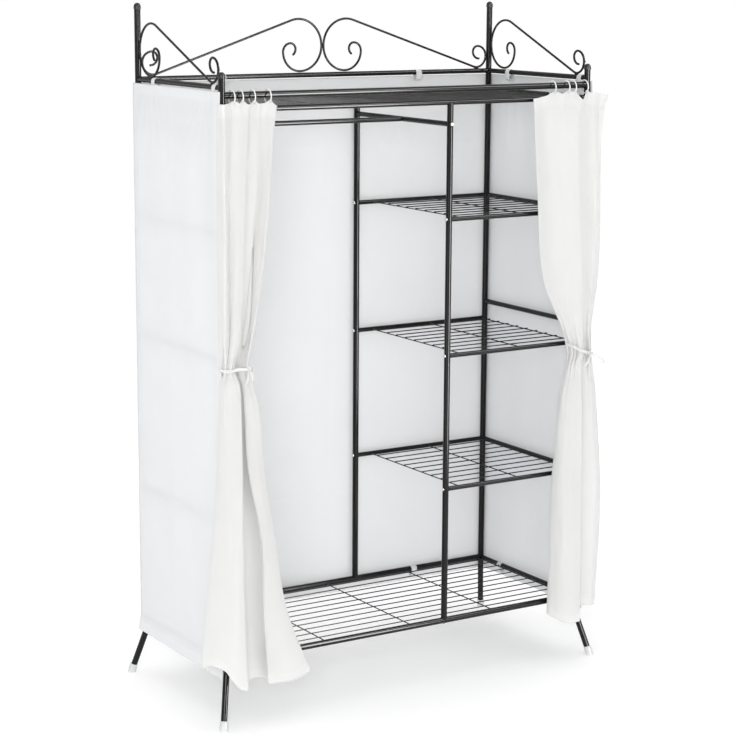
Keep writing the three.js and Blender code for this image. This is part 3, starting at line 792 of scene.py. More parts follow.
@dataclass
class Posts:
    """The corner posts with their caps and feet, and the two middle posts."""

    shop: Workshop
    radius: float = POST_RADIUS
    leg_bend_level: float = 0.140
    leg_spread_x: float = 0.028
    leg_spread_y: float = 0.037
    bend_radius: float = 0.060
    leg_end: float = 0.008
    foot_radius: float = 0.0105
    foot_height: float = 0.025
    foot_rounding: float = 0.001
    foot_groove_level: float = 0.005
    foot_groove_half: float = 0.001
    foot_groove_depth: float = 0.0009
    cap_radius: float = 0.0095
    cap_height: float = 0.015
    cap_skirt: float = 0.006
    cap_lip: float = 0.0006
    cap_lip_top: float = 0.003
    middle_overlap: float = 0.003
    end_edge: float = 0.0005
    bend_steps: int = 12
    dome_steps: int = 12
    sides: int = 32

    def corner(self, side: Side, depth: Depth) -> None:
        """Builds one corner post with its cap and its foot cap.

        The post's middle line is the leg, an arc that touches the leg and the upright, and the upright.

        Args:
            side: The corner's side.
            depth: Front or back.
        """
        name = f"{depth.word}_{side.word}"
        _, cap_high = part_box(f"post_cap_{name}")
        x, y, _ = middle_of(f"post_cap_{name}")
        foot = np.array([x + side.value * self.leg_spread_x, y + depth.value * self.leg_spread_y, 0.0])
        bend = np.array([x, y, self.leg_bend_level])
        leg = unit(bend - foot)
        angle = math.acos(leg[2])
        run = self.bend_radius * math.tan(angle / 2)
        centre_way = unit(leg * leg[2] - UP)
        centre = bend + UP * run + unit(centre_way * LEVEL) * self.bend_radius
        turns = np.linspace(angle, 0, self.bend_steps)
        outward = unit((bend - centre) * LEVEL)
        arc = centre + self.bend_radius * (np.cos(turns)[:, None] * outward - np.sin(turns)[:, None] * UP)
        start = foot + leg * (self.leg_end / leg[2])
        top = np.array([x, y, cap_high[2] - self.cap_height / 2])
        path = np.concatenate([[start], arc, [top]])
        across = unit(np.cross(leg, UP))
        post = carried_circle(path, np.full(len(path), self.radius), across, self.sides)
        self.shop.piece(f"post_{name}_tube", post, ENAMEL, stands_for=(f"post_{name}",))
        self.cap(name, np.array([x, y, cap_high[2]]))
        self.foot(name, foot, leg)

    def cap(self, name: str, top: Array) -> None:
        """Builds a post cap: a short skirt with a lip, under a dome that is a quarter ellipse.

        Args:
            name: The corner's name.
            top: The top of the dome.
        """
        rim, lip, skirt, lip_top = self.cap_radius, self.cap_lip, self.cap_skirt, self.cap_lip_top
        turns = np.linspace(0, math.pi / 2, self.dome_steps)
        dome = np.stack([
            (rim - lip) * np.cos(turns),
            skirt + (self.cap_height - skirt) * np.sin(turns),
        ], axis=1)
        dome[-1, 0] = 0.0
        lip_line = [[rim - lip, 0], [rim, lip], [rim, lip_top], [rim - lip, lip_top + lip]]
        profile = np.concatenate([[[0, 0]], lip_line, dome])
        surface = turned_profile(profile, top - UP * self.cap_height, UP, self.sides)
        self.shop.piece(f"cap_{name}", surface, CAP_PLASTIC, stands_for=(f"post_cap_{name}",))

    def foot(self, name: str, foot: Array, leg: Array) -> None:
        """Builds a foot cap: a turned sleeve along the leg, cut flat on the floor.

        Points of the profile that fall below the floor slide up along the leg until they reach it.

        Args:
            name: The corner's name.
            foot: Where the leg's axis meets the floor.
            leg: The leg's direction, upwards.
        """
        r, h, edge = self.foot_radius, self.foot_height, self.foot_rounding
        groove, half, depth = self.foot_groove_level, self.foot_groove_half, self.foot_groove_depth
        rows = np.array([
            [0, -h], [r - edge, -h], [r, -h / 2],
            [r, groove - half], [r - depth, groove], [r, groove + half],
            [r - 0.3 * edge, h - 4 * edge], [r - 1.2 * edge, h - edge], [r - 2.2 * edge, h],
            [self.radius, h], [0, h],
        ])
        surface = turned_profile(rows, foot, leg, self.sides)
        below = np.maximum(-surface.points[:, 2], 0) / leg[2]
        surface.points = surface.points + below[:, None] * leg
        self.shop.piece(f"foot_{name}", surface, FOOT_PLASTIC, stands_for=(f"foot_cap_{name}",))

    def middle(self, depth: Depth) -> None:
        """Builds a middle post, let a little way into the bottom shelf's rail and the top shelf's."""
        node = f"middle_post_{depth.word}"
        low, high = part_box(node)
        x, y, _ = middle_of(node)
        start = np.array([x, y, low[2] - self.middle_overlap])
        end = np.array([x, y, high[2] + self.middle_overlap])
        surface = straight_bar(start, end, self.radius, self.sides, self.end_edge)
        self.shop.piece(f"{node}_tube", surface, ENAMEL, stands_for=(node,))

    def build(self) -> None:
        """Builds all the posts."""
        for side in Side:
            for depth in Depth:
                self.corner(side, depth)
        for depth in Depth:
            self.middle(depth)


@dataclass
class Rails:
    """The rungs of both sides, the crown and curtain rails, and the clothes rod with what carries it."""

    shop: Workshop
    rung_radius: float = RUNG_RADIUS
    rail_radius: float = POST_RADIUS
    bead: float = 0.0013
    rod_end_share: float = 0.6

    def welded(self, node: str, start: Pair, end: Pair, radius: float) -> None:
        """Builds a level bar between the axes of two upright posts, which are given in plan."""
        level = middle_of(node)[2]
        parts = welded_bar(np.array([*start, level]), np.array([*end, level]), radius, self.bead)
        self.shop.piece(f"{node}_tube", Surface.joined(parts), ENAMEL, stands_for=(node,))

    def build(self) -> None:
        """Builds all the bars between the posts."""
        left, front, _ = middle_of("post_cap_front_left")
        right, back, _ = middle_of("post_cap_back_right")
        rung = self.rung_radius
        for side, x in ((Side.LEFT, left), (Side.RIGHT, right)):
            rungs = [f"rung_{side.word}_{level}" for level in ("bottom", "lower", "middle", "upper")]
            for node in (*rungs, f"crown_rail_{side.word}"):
                self.welded(node, (x, front), (x, back), rung)
        divider = middle_of("cross_bar")[0]
        self.welded("rod_rung_left", (left, front), (left, back), rung)
        self.welded("cross_bar", (divider, front), (divider, back), rung)
        self.welded("crown_rail_back", (left, back), (right, back), rung)
        self.welded("curtain_rail", (left, front), (right, front), self.rail_radius)
        _, y, level = middle_of("clothes_rod")
        self.rod("clothes_rod", np.array([left, y, level]), np.array([divider, y, level]))

    def rod(self, node: str, start: Array, end: Array) -> None:
        """Builds the clothes rod, whose ends are let into the bars that carry it."""
        run = unit(end - start)
        inside = run * self.rung_radius * self.rod_end_share
        surface = straight_bar(start + inside, end - inside, self.rung_radius, BAR_SIDES, BAR_EDGE)
        self.shop.piece(f"{node}_tube", surface, ENAMEL, stands_for=(node,))


@dataclass
class WireShelves:
    """The five welded wire shelves."""

    shop: Workshop
    wire_radius: float = 0.0015
    wire_overlap: float = 0.0004
    weld_depth: float = 0.00075
    wire_sides: int = 12
    wire_edge: float = 0.0004
    cross_edge: float = 0.0003
    bead: float = 0.0012
    anchor_step: int = 5
    bottom_rail_radius: float = POST_RADIUS
    top_rail_radius: float = RUNG_RADIUS
    small_rail_radius: float = 0.006
    wide_shares: Floats = (0.03, 0.27, 0.51, 0.75, 0.985)
    small_shares: Floats = (0.11, 0.55, 0.965)
    wide_wires: int = 11
    small_wires: int = 9

    def shelf(self, node: str, left: float, right: float, rail_radius: float, cross_shares: Floats,
              wires: int, anchored: bool = False) -> None:
        """Builds one shelf.

        Two rails run between the posts. Cross wires are let into them at shares of the span, and long
        wires lie on those at even steps from front to back and end just past the outer ones.

        Args:
            node: The frame's node that it stands for.
            left: The left posts' place along X.
            right: The right posts' place along X.
            rail_radius: The radius of its rails.
            cross_shares: Where the cross wires are, as shares of the span.
            wires: The number of long wires.
            anchored: Whether it has side rails that some of the long wires run to.
        """
        front, back = middle_of("post_cap_front_left")[1], middle_of("post_cap_back_left")[1]
        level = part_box(node)[0][2] + rail_radius
        parts = []
        for y in (front, back):
            start, end = np.array([left, y, level]), np.array([right, y, level])
            parts += welded_bar(start, end, rail_radius, self.bead)
        cross_level = level + self.wire_radius / 2
        long_level = cross_level + 2 * self.wire_radius - self.wire_overlap
        reach = rail_radius - self.weld_depth
        cross_places = [left + (right - left) * share for share in cross_shares]
        for x in cross_places:
            start, end = np.array([x, front + reach, cross_level]), np.array([x, back - reach, cross_level])
            parts.append(straight_bar(start, end, self.wire_radius, self.wire_sides, self.cross_edge))
        past = 2 * self.wire_radius
        for wire in range(wires):
            y = front + (back - front) * (wire + 1) / (wires + 1)
            run_to = anchored and wire % self.anchor_step == 0
            first = left + rail_radius / 2 if run_to else cross_places[0] - past
            last = right - rail_radius / 2 if run_to else cross_places[-1] + past
            start, end = np.array([first, y, long_level]), np.array([last, y, long_level])
            parts.append(straight_bar(start, end, self.wire_radius, self.wire_sides, self.wire_edge))
        inside = POST_RADIUS * LET_IN_SHARE
        for x in (left, right) if anchored else ():
            start, end = np.array([x, front + inside, level]), np.array([x, back - inside, level])
            parts.append(straight_bar(start, end, rail_radius, BAR_SIDES, BAR_EDGE))
        self.shop.piece(f"{node}_wires", Surface.joined(parts), ENAMEL, stands_for=(node,))

    def build(self) -> None:
        """Builds the five shelves."""
        left = middle_of("post_cap_front_left")[0]
        right = middle_of("post_cap_front_right")[0]
        divider = middle_of("middle_post_front")[0]
        wide, wires = self.wide_shares, self.wide_wires
        self.shelf("bottom_shelf", left, right, self.bottom_rail_radius, wide, wires)
        self.shelf("top_shelf", left, right, self.top_rail_radius, wide, wires, anchored=True)
        for level in ("lower", "middle", "upper"):
            name = f"{level}_shelf"
            self.shelf(name, divider, right, self.small_rail_radius, self.small_shares, self.small_wires)


@dataclass
class CrownScrolls:
    """The bent rods of the crown: two back to back on the back rail and one on each side rail."""

    shop: Workshop
    radius: float = 0.003
    gap: float = 0.0003
    back_radii: Floats = (0.069, 0.065, 0.050, 0.022, 0.015)
    side_radii: Floats = (0.066, 0.062, 0.047, 0.021, 0.014)
    big_eye: float = 0.018
    big_eye_turn: float = 55.0
    small_radii: Floats = (0.030, 0.027, 0.015)
    small_eye: float = 0.019
    small_eye_turn: float = 95.0
    side_gap: float = 0.004
    tip: float = 0.0012
    tip_share: float = 0.55
    stub_radius: float = 0.0022
    stub_reach: float = 0.002
    stub_edge: float = 0.0004
    weld_radius: float = 0.0018
    weld_half: float = 0.007
    weld_edge: float = 0.0008
    step: float = math.radians(5)
    straight_steps: int = 8
    sides: int = 14
    stub_sides: int = 12

    def turn(self, place: Array, heading: float, radius: float, angle: float) -> Array:
        """Points of one left-hand turn: the circle's centre is square to the heading, to its left.

        Args:
            place: Where the turn starts.
            heading: The direction there, as an angle.
            radius: The turn's radius.
            angle: How far it turns.

        Returns:
            The points after the start, two numbers a row.
        """
        centre = place + radius * np.array([-math.sin(heading), math.cos(heading)])
        turned = heading + np.linspace(0, angle, math.ceil(angle / self.step) + 1)[1:]
        return centre + radius * np.stack([np.sin(turned), -np.cos(turned)], axis=1)

    def curl(self, start: Array, heading: float, radii: Floats, eye: float, eye_turn: float) -> Array:
        """A curl: quarter turns of the given radii, one after the other, and then the eye.

        Args:
            start: Where the curl starts.
            heading: The direction there, as an angle.
            radii: The radius of each quarter turn.
            eye: The radius of the eye.
            eye_turn: How far the eye turns, in degrees.

        Returns:
            The curl's points.
        """
        points, direction = [start[None]], heading
        for radius in radii:
            points.append(self.turn(points[-1][-1], direction, radius, math.pi / 2))
            direction += math.pi / 2
        points.append(self.turn(points[-1][-1], direction, eye, math.radians(eye_turn)))
        return np.concatenate(points)

    def line(self, span: float, radii: Floats) -> Array:
        """The middle line of a scroll: the big curl, a straight that touches both curls, the small curl.

        Args:
            span: Its length along the rail.
            radii: The big curl's radii.

        Returns:
            Rows of the run along the rail and the rise above it.
        """
        big_turn, big_rise = radii[0], radii[1]
        small_turn = self.small_radii[0]
        run, fall = span - small_turn - big_turn, big_rise - small_turn
        apart = math.hypot(run, fall)
        slope = math.atan2(fall, run) + math.asin((big_turn + small_turn) / apart)
        start = np.array([big_turn, big_rise + big_turn])
        big = self.curl(start, math.pi, radii, self.big_eye, self.big_eye_turn)
        turns = np.arange(self.step, slope + self.step / 2, self.step)
        out = np.stack([np.sin(turns), np.cos(turns)], axis=1)
        shoulder = np.array([big_turn, big_rise]) + big_turn * out
        back = np.arange(slope, 0, -self.step)
        out = np.stack([np.sin(back), np.cos(back)], axis=1)
        foot = np.array([span - small_turn, small_turn]) - small_turn * out
        end = np.array([span - small_turn, 0.0])
        small = self.curl(end, 0.0, self.small_radii, self.small_eye, self.small_eye_turn)
        shares = np.linspace(0, 1, self.straight_steps)[1:-1, None]
        straight = shoulder[-1] + (foot[0] - shoulder[-1]) * shares
        return np.concatenate([big[::-1], shoulder, straight, foot, small])

    def scroll(self, name: str, span: float, radii: Floats, origin: Array, run: Array) -> None:
        """Builds one scroll with its rounded rod ends and the stubs that hold it.

        Args:
            name: The frame's node that it stands for.
            span: Its length along the rail.
            radii: The big curl's radii.
            origin: Where its run and rise are zero.
            run: The direction of its run.
        """
        flat = self.line(span, radii)
        path = origin + flat[:, :1] * run + flat[:, 1:] * UP
        first, last = unit(path[0] - path[1]), unit(path[-1] - path[-2])
        path = np.concatenate([[path[0] + first * self.tip], path, [path[-1] + last * self.tip]])
        radii_along = np.full(len(path), self.radius)
        radii_along[[0, -1]] *= self.tip_share
        rod = carried_circle(path, radii_along, np.cross(run, UP), self.sides)
        end = origin + span * run + self.small_radii[0] * UP
        start, end = end - run * self.radius, end + run * (self.radius + self.stub_reach)
        stub = straight_bar(start, end, self.stub_radius, self.stub_sides, self.stub_edge)
        foot = origin + (span - self.small_radii[0]) * run - UP * self.radius
        start, end = foot - run * self.weld_half, foot + run * self.weld_half
        weld = straight_bar(start, end, self.weld_radius, self.stub_sides, self.weld_edge)
        self.shop.piece(f"{name}_rod", Surface.joined([rod, stub, weld]), ENAMEL, stands_for=(name,))

    def build(self) -> None:
        """Builds the four scrolls."""
        half_width = middle_of("post_cap_front_right")[0]
        half_depth = middle_of("post_cap_back_right")[1]
        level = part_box("scroll_back_left")[0][2] + self.radius
        inner = self.radius + self.gap / 2
        face = POST_RADIUS + self.radius + self.gap
        back_span = half_width - face - inner
        side_span = 2 * half_depth - 2 * face - self.side_gap
        for side in Side:
            origin = np.array([side.value * inner, half_depth, level])
            self.scroll(f"scroll_back_{side.word}", back_span, self.back_radii, origin, side.value * ALONG_X)
            origin = np.array([side.value * half_width, half_depth - face, level])
            self.scroll(f"scroll_side_{side.word}", side_span, self.side_radii, origin, -ALONG_Y)


@dataclass
class Bolts:
    """The bolts of the middle posts."""

    shop: Workshop
    head_radius: float = 0.0045
    head_height: float = 0.003
    shank_radius: float = 0.002
    socket_radius: float = 0.0016
    socket_depth: float = 0.0016
    socket_lip: float = 1.25
    socket_cone: float = 1.1
    socket_flats: float = 0.87
    rim_share: float = 0.1
    sunk: float = 0.0001
    foot_shank: float = 0.004
    dome_steps: int = 8
    sides: int = 36

    def bolt(self, name: str, seat: Array, out: Array, length: float, node: str | None) -> None:
        """Builds a bolt: a low dome with a six-sided socket, a flange and a shank.

        The dome's profile is a quarter ellipse from the flange up to the socket's edge. The socket's
        radius at angle a is that of a hexagon, s / cos(a mod 60 degrees - 30 degrees).

        Args:
            name: The piece's name.
            seat: Where the head's underside meets the tube, on the bolt's axis.
            out: The direction that the head points in.
            length: The shank's length.
            node: The frame's node that it stands for, or None.
        """
        r, h, s = self.head_radius, self.head_height, self.socket_radius
        turns = np.linspace(math.asin(self.rim_share), math.acos(s * self.socket_lip / r), self.dome_steps)
        dome = np.stack([r * np.cos(turns), h * np.sin(turns)], axis=1)[::-1]
        profile = np.concatenate([
            [[0, h - self.socket_depth * self.socket_cone]],
            [[s, h - self.socket_depth], [s, dome[0, 1] - self.sunk]],
            dome,
            [[r, 0], [self.shank_radius, 0], [self.shank_radius, -length], [0, -length]],
        ])
        surface = turned_profile(profile, np.zeros(3), UP, self.sides)
        rows = surface.points[:-2].reshape(-1, self.sides, 3)
        angle = np.arctan2(rows[0, :, 1], rows[0, :, 0])
        flats = self.socket_flats / np.cos(np.mod(angle, math.pi / 3) - math.pi / 6)
        rows[:2, :, :2] *= flats[None, :, None]
        turn = turned_up(out)
        surface.points = surface.points @ turn.T + seat
        self.shop.piece(name, surface, ZINC, stands_for=(node,) if node else ())

    def seated(self, node: str, axis: int) -> None:
        """Builds the bolt of a node, whose head points back along the axis of the given number."""
        low, high = (np.array(corner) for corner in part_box(node))
        seat = (low + high) / 2
        seat[axis] = low[axis] + self.head_height
        self.bolt(f"{node}_head", seat, -np.eye(3)[axis], high[axis] - seat[axis], node)

    def build(self) -> None:
        """Builds the bolts of the shelves and of the cross bar, and the small ones under the middle posts."""
        for depth in Depth:
            for level in ("upper", "middle", "lower"):
                self.seated(f"shelf_bolt_{depth.word}_{level}", 0)
            x, y, _ = middle_of(f"middle_post_{depth.word}")
            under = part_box("bottom_shelf")[0][2]
            self.bolt(f"foot_bolt_{depth.word}", np.array([x, y, under]), -UP, self.foot_shank, None)
        self.seated("cross_bar_bolt", 1)


@dataclass
class ClothPanels:
    """The cloth of the back and the sides, hung from its strap loops."""

    shop: Workshop
    stand_off: float = 0.001
    thickness: float = CLOTH_THICKNESS
    hem_gain: float = 0.75
    top: float = 1.539
    hem_level: float = 0.125
    flare_level: float = 0.165
    flare: float = 0.008
    hem_width: float = 0.022
    loop_width: float = 0.018
    loop_height: float = 0.020
    loop_gap: float = 0.0003
    loop_steps: int = 14
    side_loops: Floats = (-0.195, 0.121)
    back_loops: Floats = (-0.298, 0.298)
    front_reach: float = 0.017
    ripple: float = 0.004
    ripple_base: float = 0.5
    waves: tuple[Wave, ...] = (Wave(0.25, 1.7, 0.35, 0.6), Wave(0.25, 3.1, -0.8, 2.1))
    crease: float = 0.0009
    crease_pitch: float = 0.235
    crease_width: float = 0.035
    crease_start: Pair = (0.03, 0.05)
    fan_height: float = 0.0022
    fan_start: float = 0.012
    fan_growth: float = 0.22
    fan_pitch: float = 2.2
    fan_reach: float = 4.0
    fan_span: float = 1.0
    fan_fall: float = 0.16
    side_ease: float = 0.08
    top_ease: float = 0.06
    row_crowding: float = 0.35
    columns: int = 90
    rows: int = 220

    def swell(self, across: Array, down: Array, width: float, loops: Floats) -> Array:
        """How far the cloth stands out from its rail.

        It is a sum of slow waves, of the draw lines that fan down from each loop, and of the shallow
        ridges that the cloth keeps from being folded flat, eased to nothing at the side edges.

        Args:
            across: Metres from the middle of the panel's width.
            down: The share of the drop.
            width: The panel's width.
            loops: Where its loops are, from the middle.

        Returns:
            The distance, never under zero.
        """
        share = across / width + 0.5
        slow = self.ripple_base + sum(wave.at(share, down) for wave in self.waves)
        drop = (self.top - self.hem_level) * down
        fans = np.zeros_like(across)
        for place in loops:
            off = across - place
            spread = self.fan_start + self.fan_growth * drop
            rays = np.cos(TURN * off / (self.fan_pitch * spread)) ** 2 * np.exp(-drop / self.fan_fall)
            fans += rays * bump_at(off, 0.0, self.fan_span) * bump_at(off, 0.0, self.fan_reach * spread)
        starts = zip((across, drop), self.crease_start)
        lines = [np.abs(np.sin(math.pi * (run + start) / self.crease_pitch)) for run, start in starts]
        ridges = sum(bump_at(line, 0.0, self.crease_width) for line in lines)
        held = smooth_step(share / self.side_ease) * smooth_step((1 - share) / self.side_ease)
        rippled = self.ripple * slow * smooth_step(down / self.top_ease)
        return held * (rippled + self.fan_height * fans + self.crease * ridges)

    def sheet(self, width: float, loops: Floats, middle: float, down_rail: float, up_rail: float) -> Surface:
        """The panel's cloth with its loops, drawn for a rail along Y with the outside towards +X.

        The point at a width a and a drop d is (rail + stand-off + flare + swell, a, level): a height field
        on the flat cut.

        Args:
            width: The panel's width.
            loops: Where its loops are, from the middle of the rail.
            middle: The middle of the panel's width, from the middle of the rail.
            down_rail: The radius of the rail at the bottom.
            up_rail: The radius of the rail at the top.

        Returns:
            The closed surface.
        """
        across, down = np.meshgrid(
            np.linspace(-width / 2, width / 2, self.columns), self.row_shares(), indexing="xy",
        )
        drop = self.top - self.hem_level
        level = self.top - drop * down
        flared = (self.flare_level - level) / (self.flare_level - self.hem_level)
        out = POST_RADIUS + self.stand_off + self.thickness + self.flare * np.clip(flared, 0, None)
        out = out + self.swell(across, down, width, tuple(place - middle for place in loops))
        edge = np.minimum(width / 2 - np.abs(across), np.minimum(down, 1 - down) * drop)
        hem, seam = hem_share(edge, self.hem_width), seam_share(edge, self.hem_width)
        thickness = self.thickness * (1 + self.hem_gain * hem - SEAM_DIP * seam)
        points = np.stack([out, across + middle, level], axis=-1)
        places = np.stack([across + width / 2, drop * down], axis=-1)
        parts = [cloth_shell(points, thickness, places, hem)]
        crown, bottom = (middle_of(node)[2] for node in ("crown_rail_left", "rung_left_bottom"))
        for place in loops:
            parts.append(self.loop(crown, up_rail, place))
            parts.append(self.loop(bottom, down_rail, place))
        return Surface.joined(parts)

    def row_shares(self) -> Array:
        """The rows' shares of the drop, closer together at the two hems."""
        even = np.linspace(0, 1, self.rows)
        return even - self.row_crowding * np.sin(TURN * even) / TURN

    def loop(self, rail_level: float, radius: float, along: float) -> Surface:
        """A strap loop round a rail: a long round-ended ring whose top rests on the rail.

        Args:
            rail_level: The rail's level.
            radius: The rail's radius.
            along: The loop's place along the rail.

        Returns:
            The closed surface.
        """
        half = POST_RADIUS + self.stand_off
        top = rail_level + radius + self.loop_gap - half + self.thickness / 2
        bottom = top - self.loop_height + half
        turns = np.linspace(0, math.pi, self.loop_steps)
        place = np.full(self.loop_steps, along)
        upper = np.stack([half * np.cos(turns), place, top + half * np.sin(turns)], axis=1)
        lower = np.stack([-half * np.cos(turns), place, bottom - half * np.sin(turns)], axis=1)
        path = np.concatenate([upper, lower])
        side = np.tile(ALONG_Y, (len(path), 1))
        return carried_strip(path, side, np.full(len(path), self.loop_width), self.thickness, closed=True)

    def hang(self, name: str, surface: Surface, turn: float, offset: float, width: float,
             finish: WovenCloth, rails: list[str]) -> None:
        """Args:
            name: The frame's node that it stands for.
            surface: The panel as drawn for a rail along Y.
            turn: How far it turns about Z.
            offset: How far its rail is from the middle.
            width: The panel's flat width; not used.
            finish: The cloth that it is made of.
            rails: What it hangs from; not used.
        """
        c, s = math.cos(turn), math.sin(turn)
        turned = np.array([[c, s, 0], [-s, c, 0], [0, 0, 1]])
        surface.points = (surface.points + offset * ALONG_X) @ turned
        made = self.shop.piece(f"{name}_cloth", surface, finish, stands_for=(name,))

    def build(self) -> None:
        """Builds the three panels."""
        half_width = middle_of("post_cap_front_right")[0]
        half_depth = middle_of("post_cap_back_right")[1]
        low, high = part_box("side_panel_right")
        front = low[1] - self.front_reach
        width, middle = high[1] - front, (high[1] + front) / 2
        right = self.sheet(width, self.side_loops, middle, RUNG_RADIUS, RUNG_RADIUS)
        self.hang("side_panel_right", right, 0.0, half_width, width, PANEL_CLOTH, ["crown_rail_right_tube"])
        mirrored = tuple(-place for place in self.side_loops)
        left = self.sheet(width, mirrored, -middle, RUNG_RADIUS, RUNG_RADIUS)
        self.hang("side_panel_left", left, math.pi, half_width, width, PANEL_CLOTH, ["crown_rail_left_tube"])
        low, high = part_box("back_panel")
        width = high[0] - low[0]
        back = self.sheet(width, self.back_loops, 0.0, POST_RADIUS, RUNG_RADIUS)
        # The back hangs in the cloth whose lighter tone paints in light inside the wardrobe.
        self.hang("back_panel", back, math.pi / 2, half_depth, width, BACK_CLOTH_WITH_PAINTED_LIGHT, ["crown_rail_back_tube"])


class Section(NamedTuple):
    """A level cut through a gathered curtain, in millimetres.

    Each station is a pair: how far inwards of the front post's axis and how far in front of it the cloth
    is there. The stations run from the outer edge to the inner edge, and each keeps to its own thread.
    """

    level: int
    stations: tuple[tuple[int, int], ...]


@dataclass(frozen=True)
class Drape:
    """The shape of one tied-back curtain: its level cuts, and its top edge and hem at each station.

    Top drops are how far the top edge sags below the rings' level, and hem rises how far the hem is drawn
    up, both in millimetres.
    """

    side: Side
    tied_level: int
    sections: tuple[Section, ...]
    top_drops: tuple[int, ...]
    hem_rises: tuple[int, ...]
    flat_width: float
    draw_start: float
    draw_run: float
    draw_rise: float
    knot_way: Pair
    band_tilt: float
    tails: tuple[Triple, ...]
    loops: tuple[Triple, ...]


LEFT_CUTS = (
    Section(1523, (
        (-12, 0), (-14, 12), (-8, 26), (14, 13), (24, 16), (35, 21), (46, 16), (55, 25),
        (66, 20), (78, 16), (92, 12), (106, 18), (120, 16), (128, 20), (134, 24), (126, 13),
    )),
    Section(1480, (
        (-12, -3), (-14, 10), (-8, 27), (18, 13), (24, 18), (31, 24), (41, 31), (51, 35),
        (44, 21), (62, 14), (87, 12), (96, 19), (107, 24), (118, 28), (125, 27), (104, 13),
    )),
    Section(1290, (
        (-12, -4), (-14, 10), (-9, 28), (11, 15), (16, 21), (21, 28), (29, 36), (38, 41),
        (31, 26), (50, 18), (78, 14), (87, 22), (94, 28), (102, 33), (107, 31), (84, 15),
    )),
    Section(1090, (
        (-12, -4), (-15, 10), (-10, 28), (10, 17), (13, 24), (15, 31), (22, 39), (30, 44),
        (23, 29), (36, 21), (61, 16), (68, 24), (73, 31), (80, 36), (83, 34), (60, 18),
    )),
    Section(960, (
        (-13, 0), (-16, 12), (-11, 29), (5, 21), (6, 26), (8, 32), (15, 38), (22, 42),
        (16, 30), (24, 22), (46, 18), (49, 25), (52, 31), (55, 35), (58, 33), (42, 19),
    )),
    Section(889, (
        (-16, 13), (-18, 20), (-15, 30), (-9, 25), (-6, 29), (-3, 33), (2, 36), (8, 37),
        (6, 27), (13, 21), (22, 19), (28, 25), (34, 31), (41, 34), (45, 29), (36, 18),
    )),
    Section(850, (
        (-16, 7), (-18, 14), (-18, 27), (-15, 33), (-8, 36), (0, 39), (9, 41), (20, 42),
        (16, 30), (24, 22), (38, 21), (34, 31), (44, 36), (53, 36), (57, 32), (42, 20),
    )),
    Section(780, (
        (-15, 3), (-23, 14), (-23, 30), (-18, 38), (-11, 42), (-1, 45), (10, 47), (21, 47),
        (18, 32), (26, 22), (46, 19), (38, 33), (52, 40), (70, 41), (80, 36), (62, 21),
    )),
    Section(640, (
        (-16, 2), (-28, 16), (-28, 36), (-21, 51), (-14, 56), (-6, 59), (5, 61), (16, 60),
        (22, 40), (32, 24), (66, 16), (44, 38), (62, 44), (76, 42), (86, 37), (68, 22),
    )),
    Section(455, (
        (-26, 2), (-43, 18), (-38, 42), (-25, 65), (-19, 70), (-11, 73), (-1, 74), (12, 70),
        (24, 42), (40, 22), (92, 15), (78, 40), (94, 44), (108, 41), (118, 34), (98, 19),
    )),
    Section(270, (
        (-42, 4), (-64, 20), (-51, 44), (-27, 67), (-20, 72), (-11, 75), (1, 75), (15, 70),
        (28, 42), (46, 20), (100, 13), (85, 38), (108, 43), (130, 41), (149, 35), (124, 20),
    )),
    Section(95, (
        (-60, 4), (-76, 20), (-62, 46), (-37, 66), (-27, 73), (-15, 77), (2, 77), (22, 71),
        (34, 44), (54, 22), (112, 16), (98, 38), (136, 42), (178, 42), (216, 36), (190, 22),
    )),
)
LEFT_DRAPE = Drape(
    side=Side.LEFT,
    tied_level=889,
    sections=LEFT_CUTS,
    top_drops=(14, 12, 12, 10, 5, 11, 5, 13, 12, 5, 13, 11, 5, 15, 19, 22),
    hem_rises=(70, 71, 80, 68, 52, 34, 18, 12, 18, 20, 12, 6, 3, 5, 18, 26),
    flat_width=0.34,
    draw_start=-0.0351,
    draw_run=0.1495,
    draw_rise=0.0277,
    knot_way=(0.9, -0.45),
    band_tilt=0.002,
    tails=((0.30, -0.95, 0.030), (-0.25, -0.97, 0.042)),
    loops=((0.85, 0.35, 0.011), (0.75, -0.55, 0.010)),
)
